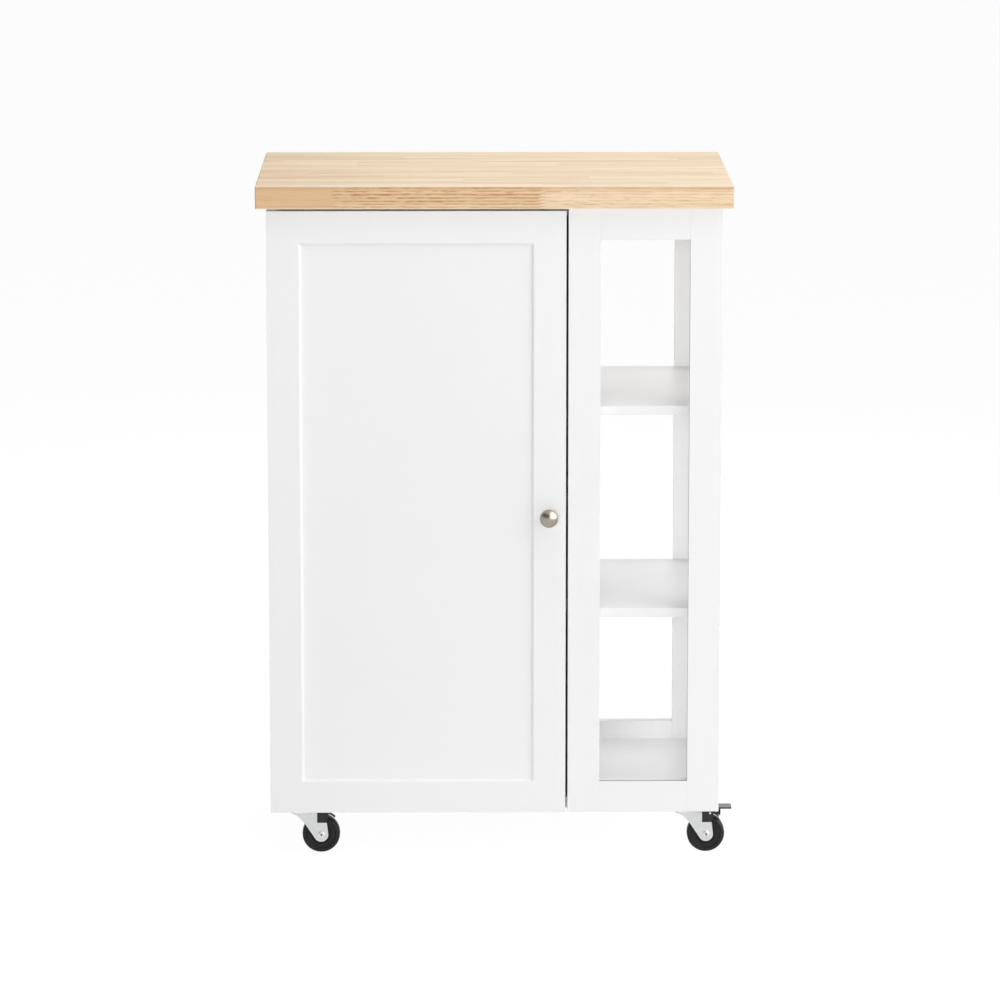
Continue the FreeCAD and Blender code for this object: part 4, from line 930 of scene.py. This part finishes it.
def solid_boxes(node):
    """Lowest and highest corner of each separate solid in a node."""
    copy = CAD_NODES[node].copy()
    copy.data = CAD_NODES[node].data.copy()
    bpy.context.scene.collection.objects.link(copy)
    select_only(copy)
    bpy.ops.object.mode_set(mode="EDIT")
    bpy.ops.mesh.select_all(action="SELECT")
    bpy.ops.mesh.remove_doubles(threshold=0.001 * MM)
    bpy.ops.mesh.separate(type="LOOSE")
    bpy.ops.object.mode_set(mode="OBJECT")
    boxes = []
    for part in list(bpy.context.selected_objects):
        corners = [corner.co for corner in part.data.vertices]
        low = Vector([min(corner[i] for corner in corners) for i in range(3)])
        high = Vector([max(corner[i] for corner in corners) for i in range(3)])
        boxes.append((low, high))
        bpy.data.objects.remove(part)
    return boxes


screw_boxes = {node: solid_boxes(node) for node in SCREWS}
print("found", sum(len(boxes) for boxes in screw_boxes.values()), "screws in", len(SCREWS), "nodes")

# %% [markdown]
# For each of these nodes a screw of its own length is modelled, and every box in the node
# gets a copy of it, with the head on the side that the screw is driven from.

# %% Screws in their places
for node, (body, out) in SCREWS.items():
    boxes = screw_boxes[node]
    length = max(boxes[0][1] - boxes[0][0]) - SCREW_HEAD_HEIGHT
    pattern = pan_screw(length)
    copies = []
    for low, high in boxes:
        seat = (low + high) / 2 + Vector(out) * (max(high - low) / 2 - SCREW_HEAD_HEIGHT)
        one = pattern.copy()
        one.data = pattern.data.copy()
        bpy.context.scene.collection.objects.link(one)
        one.data.transform(Matrix.Translation(seat) @ facing_to(out))
        copies.append(one)
    select_only(*copies)
    if len(copies) > 1:
        bpy.ops.object.join()
    screws = bpy.context.object
    screws.name = node + "_cross_head"
    hand_over(screws, body, nickel, "nickel_plated_steel", node)
    bpy.data.objects.remove(pattern)
    print(node, len(copies), "screws of", round(length / MM, 1), "mm")

# %% [markdown]
# ## Magnetic catch
# Two steel pole pieces stand a hair proud of the dark grey catch and hold the strike plate.
# The solids have only the catch's body, so the poles are a piece of their own.

# %% Pole pieces
POLE_WIDTH, POLE_DEPTH, POLE_HEIGHT = 2 * MM, 8 * MM, 16 * MM
POLE_PROUD, POLE_ASIDE, POLE_EDGE = 0.2 * MM, 2.6 * MM, 0.3 * MM

catch_low, catch_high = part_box("catch_body")
catch_middle = (catch_low + catch_high) / 2
pole_y = catch_low.y - POLE_PROUD + POLE_DEPTH / 2
poles = []
for aside in (-POLE_ASIDE, POLE_ASIDE):
    bpy.ops.object.select_all(action="DESELECT")
    place = (catch_middle.x + aside, pole_y, catch_middle.z)
    bpy.ops.mesh.primitive_cube_add(size=1.0, location=place)
    pole = bpy.context.object
    pole.scale = (POLE_WIDTH, POLE_DEPTH, POLE_HEIGHT)
    bpy.ops.object.transform_apply(location=True, rotation=True, scale=True)
    bevel = pole.modifiers.new("arris", "BEVEL")
    bevel.width = POLE_EDGE
    bevel.segments = 2
    bpy.ops.object.modifier_apply(modifier=bevel.name)
    poles.append(pole)
select_only(*poles)
bpy.ops.object.join()
catch_poles = bpy.context.object
catch_poles.name = "catch_poles"
hand_over(catch_poles, "cart", nickel, "nickel_plated_steel")
print("catch poles", [round(v / MM, 1) for v in catch_poles.dimensions])

# %% [markdown]
# ## Studio
# The cart stands on a wide white floor. The picture's pure white ground is a glow in that
# floor, which only the camera and mirroring surfaces see. To all other light the floor is
# plain white paper.

# %% Floor
FLOOR_SIZE, FLOOR_MIDDLE = 80.0, (0, 20.0, 0)
GLOW, GLOW_SHARE = 1.1, 0.86
WHITE = linear("#FFFFFF")


def seen_directly(tree):
    """1 for rays from the camera, and for those that metal or glass sends on. 0 for light."""
    path = add(tree, "LightPath").outputs
    sent_on = arithmetic("MAXIMUM", path["Is Glossy Ray"], path["Is Transmission Ray"])
    return arithmetic("MAXIMUM", path["Is Camera Ray"], sent_on)


bpy.ops.object.select_all(action="DESELECT")
bpy.ops.mesh.primitive_plane_add(size=FLOOR_SIZE, location=FLOOR_MIDDLE)
floor = bpy.context.object
floor.name = "floor"
paper, tree, surface = finish_of("white_paper", Roughness=0.9, Specular_IOR_Level=0.0)
surface.inputs["Base Color"].default_value = linear("#F2F2F2")
glow = add(tree, "Emission", {"Color": WHITE, "Strength": GLOW}).outputs[0]
share = times(seen_directly(tree), GLOW_SHARE)
both = add(tree, "MixShader", {0: share, 1: surface.outputs[0], 2: glow}).outputs[0]
tree.links.new(both, tree.nodes["Material Output"].inputs["Surface"])
floor.data.materials.append(paper)
print("floor", round(floor.dimensions.x), "m wide")

# %% [markdown]
# A dim white world fills the shadows. Glossy things would look flat if they mirrored only
# white, so they see two cards in it: a black one at the upper left in front, and a white
# reflector at the right. A card is a range of directions with soft edges.

# %% World and cards
FILL = 0.2
AHEAD = 0.2
BLACK_CARD, DIMMED = ((-0.85, 0.1, 0.2), (0.24, 0.72, 0.14)), 0.18
REFLECTOR, BRIGHTENED = ((0.32, 1.2, 0.14), (0.08, 0.86, 0.12)), 2.2

world = bpy.data.worlds.new("studio")
bpy.context.scene.world = world
world.use_nodes = True
tree = world.node_tree
background = tree.nodes["Background"].inputs
mirrored_only = add(tree, "LightPath").outputs["Is Glossy Ray"]
towards = axes(add(tree, "TexCoord").outputs["Generated"])
ahead = times(arithmetic("LESS_THAN", towards["Y"], AHEAD), mirrored_only)


def between(value, low, high, soft):
    """1 between two limits, and softly 0 outside them."""
    return times(fade(value, low - soft, low), fade(value, high + soft, high))


def card(across, upwards):
    """1 where a card hangs in front of the cart, for mirrored rays only."""
    return times(ahead, times(between(towards["X"], *across), between(towards["Z"], *upwards)))


plain = fade(seen_directly(tree), 0.0, 1.0, FILL, 1.0)
darker = times(plain, fade(card(*BLACK_CARD), 0.0, 1.0, 1.0, DIMMED))
strength = plus(darker, times(card(*REFLECTOR), BRIGHTENED))
tree.links.new(strength, background["Strength"])
background["Color"].default_value = WHITE
print("world", world.name, "of", len(tree.nodes), "nodes")

# %% [markdown]
# Five soft boxes do the rest. The key hangs at the upper right in front, and draws the
# recess of the door and the knob's soft shadow. The large one at the right lights the
# shelves through the bay's open end. A lamp far off in front reaches to the back of the
# bay. The last two hang over the worktop and behind. How bright each has to be was found
# by lighting the cart with one lamp at a time and adding up the results. Nothing mirrors
# the front and top lamps, so that the knob keeps one highlight.

# %% Lamps
SOFT_BOXES = {
    "key": ((0.5, -0.75, 0.45), 3.0, 2.4, 0.12),
    "right": ((1.0, -0.42, 0.5), 3.0, 2.8, 0.4),
    "front": ((-0.12, -1.0, 0.12), 7.5, 1.7, 0.3),
    "top": ((0.1, -0.2, 1.0), 3.0, 2.4, 0.46),
    "behind": ((0.3, 1.0, 0.55), 3.0, 2.4, 0.12),
}
NOT_MIRRORED = ("front", "top")

middle = Vector((0, 0, (cad_low.z + cad_high.z) / 2))
for name, (way, distance, size, light) in SOFT_BOXES.items():
    way = Vector(way).normalized()
    lamp = bpy.data.lights.new(name, "AREA")
    lamp.shape = "SQUARE"
    lamp.size = size
    lamp.energy = light * math.pi ** 2 * distance ** 2
    holder = bpy.data.objects.new(name, lamp)
    bpy.context.scene.collection.objects.link(holder)
    holder.location = middle + way * distance
    holder.rotation_euler = way.to_track_quat("Z", "Y").to_euler()
    holder.visible_glossy = name not in NOT_MIRRORED
    print(name, "adds about", light, "of white to a face turned to it")

# %% [markdown]
# ## Camera
# The photograph looks as if it was taken from about six and a half metres with a long lens,
# from well above the worktop and almost square to the front. These values put the worktop's
# corners, the door and the wheels within five thousandths of the picture's width of theirs.

# %% Camera
SENSOR, LENS = 36.0, 181.56
EYE = (-0.0457, -6.681, 1.6609)
DOWN, ASIDE = 10.251, -0.466

camera = bpy.data.cameras.new("camera")
camera.sensor_width = SENSOR
camera.lens = LENS
eye = bpy.data.objects.new("camera", camera)
bpy.context.scene.collection.objects.link(eye)
eye.location = EYE
eye.rotation_euler = (math.radians(90 - DOWN), 0.0, math.radians(ASIDE))
bpy.context.scene.camera = eye
bpy.context.scene.view_settings.view_transform = "Standard"
print("camera", round(eye.location.z, 2), "m up, looking down", DOWN, "degrees")
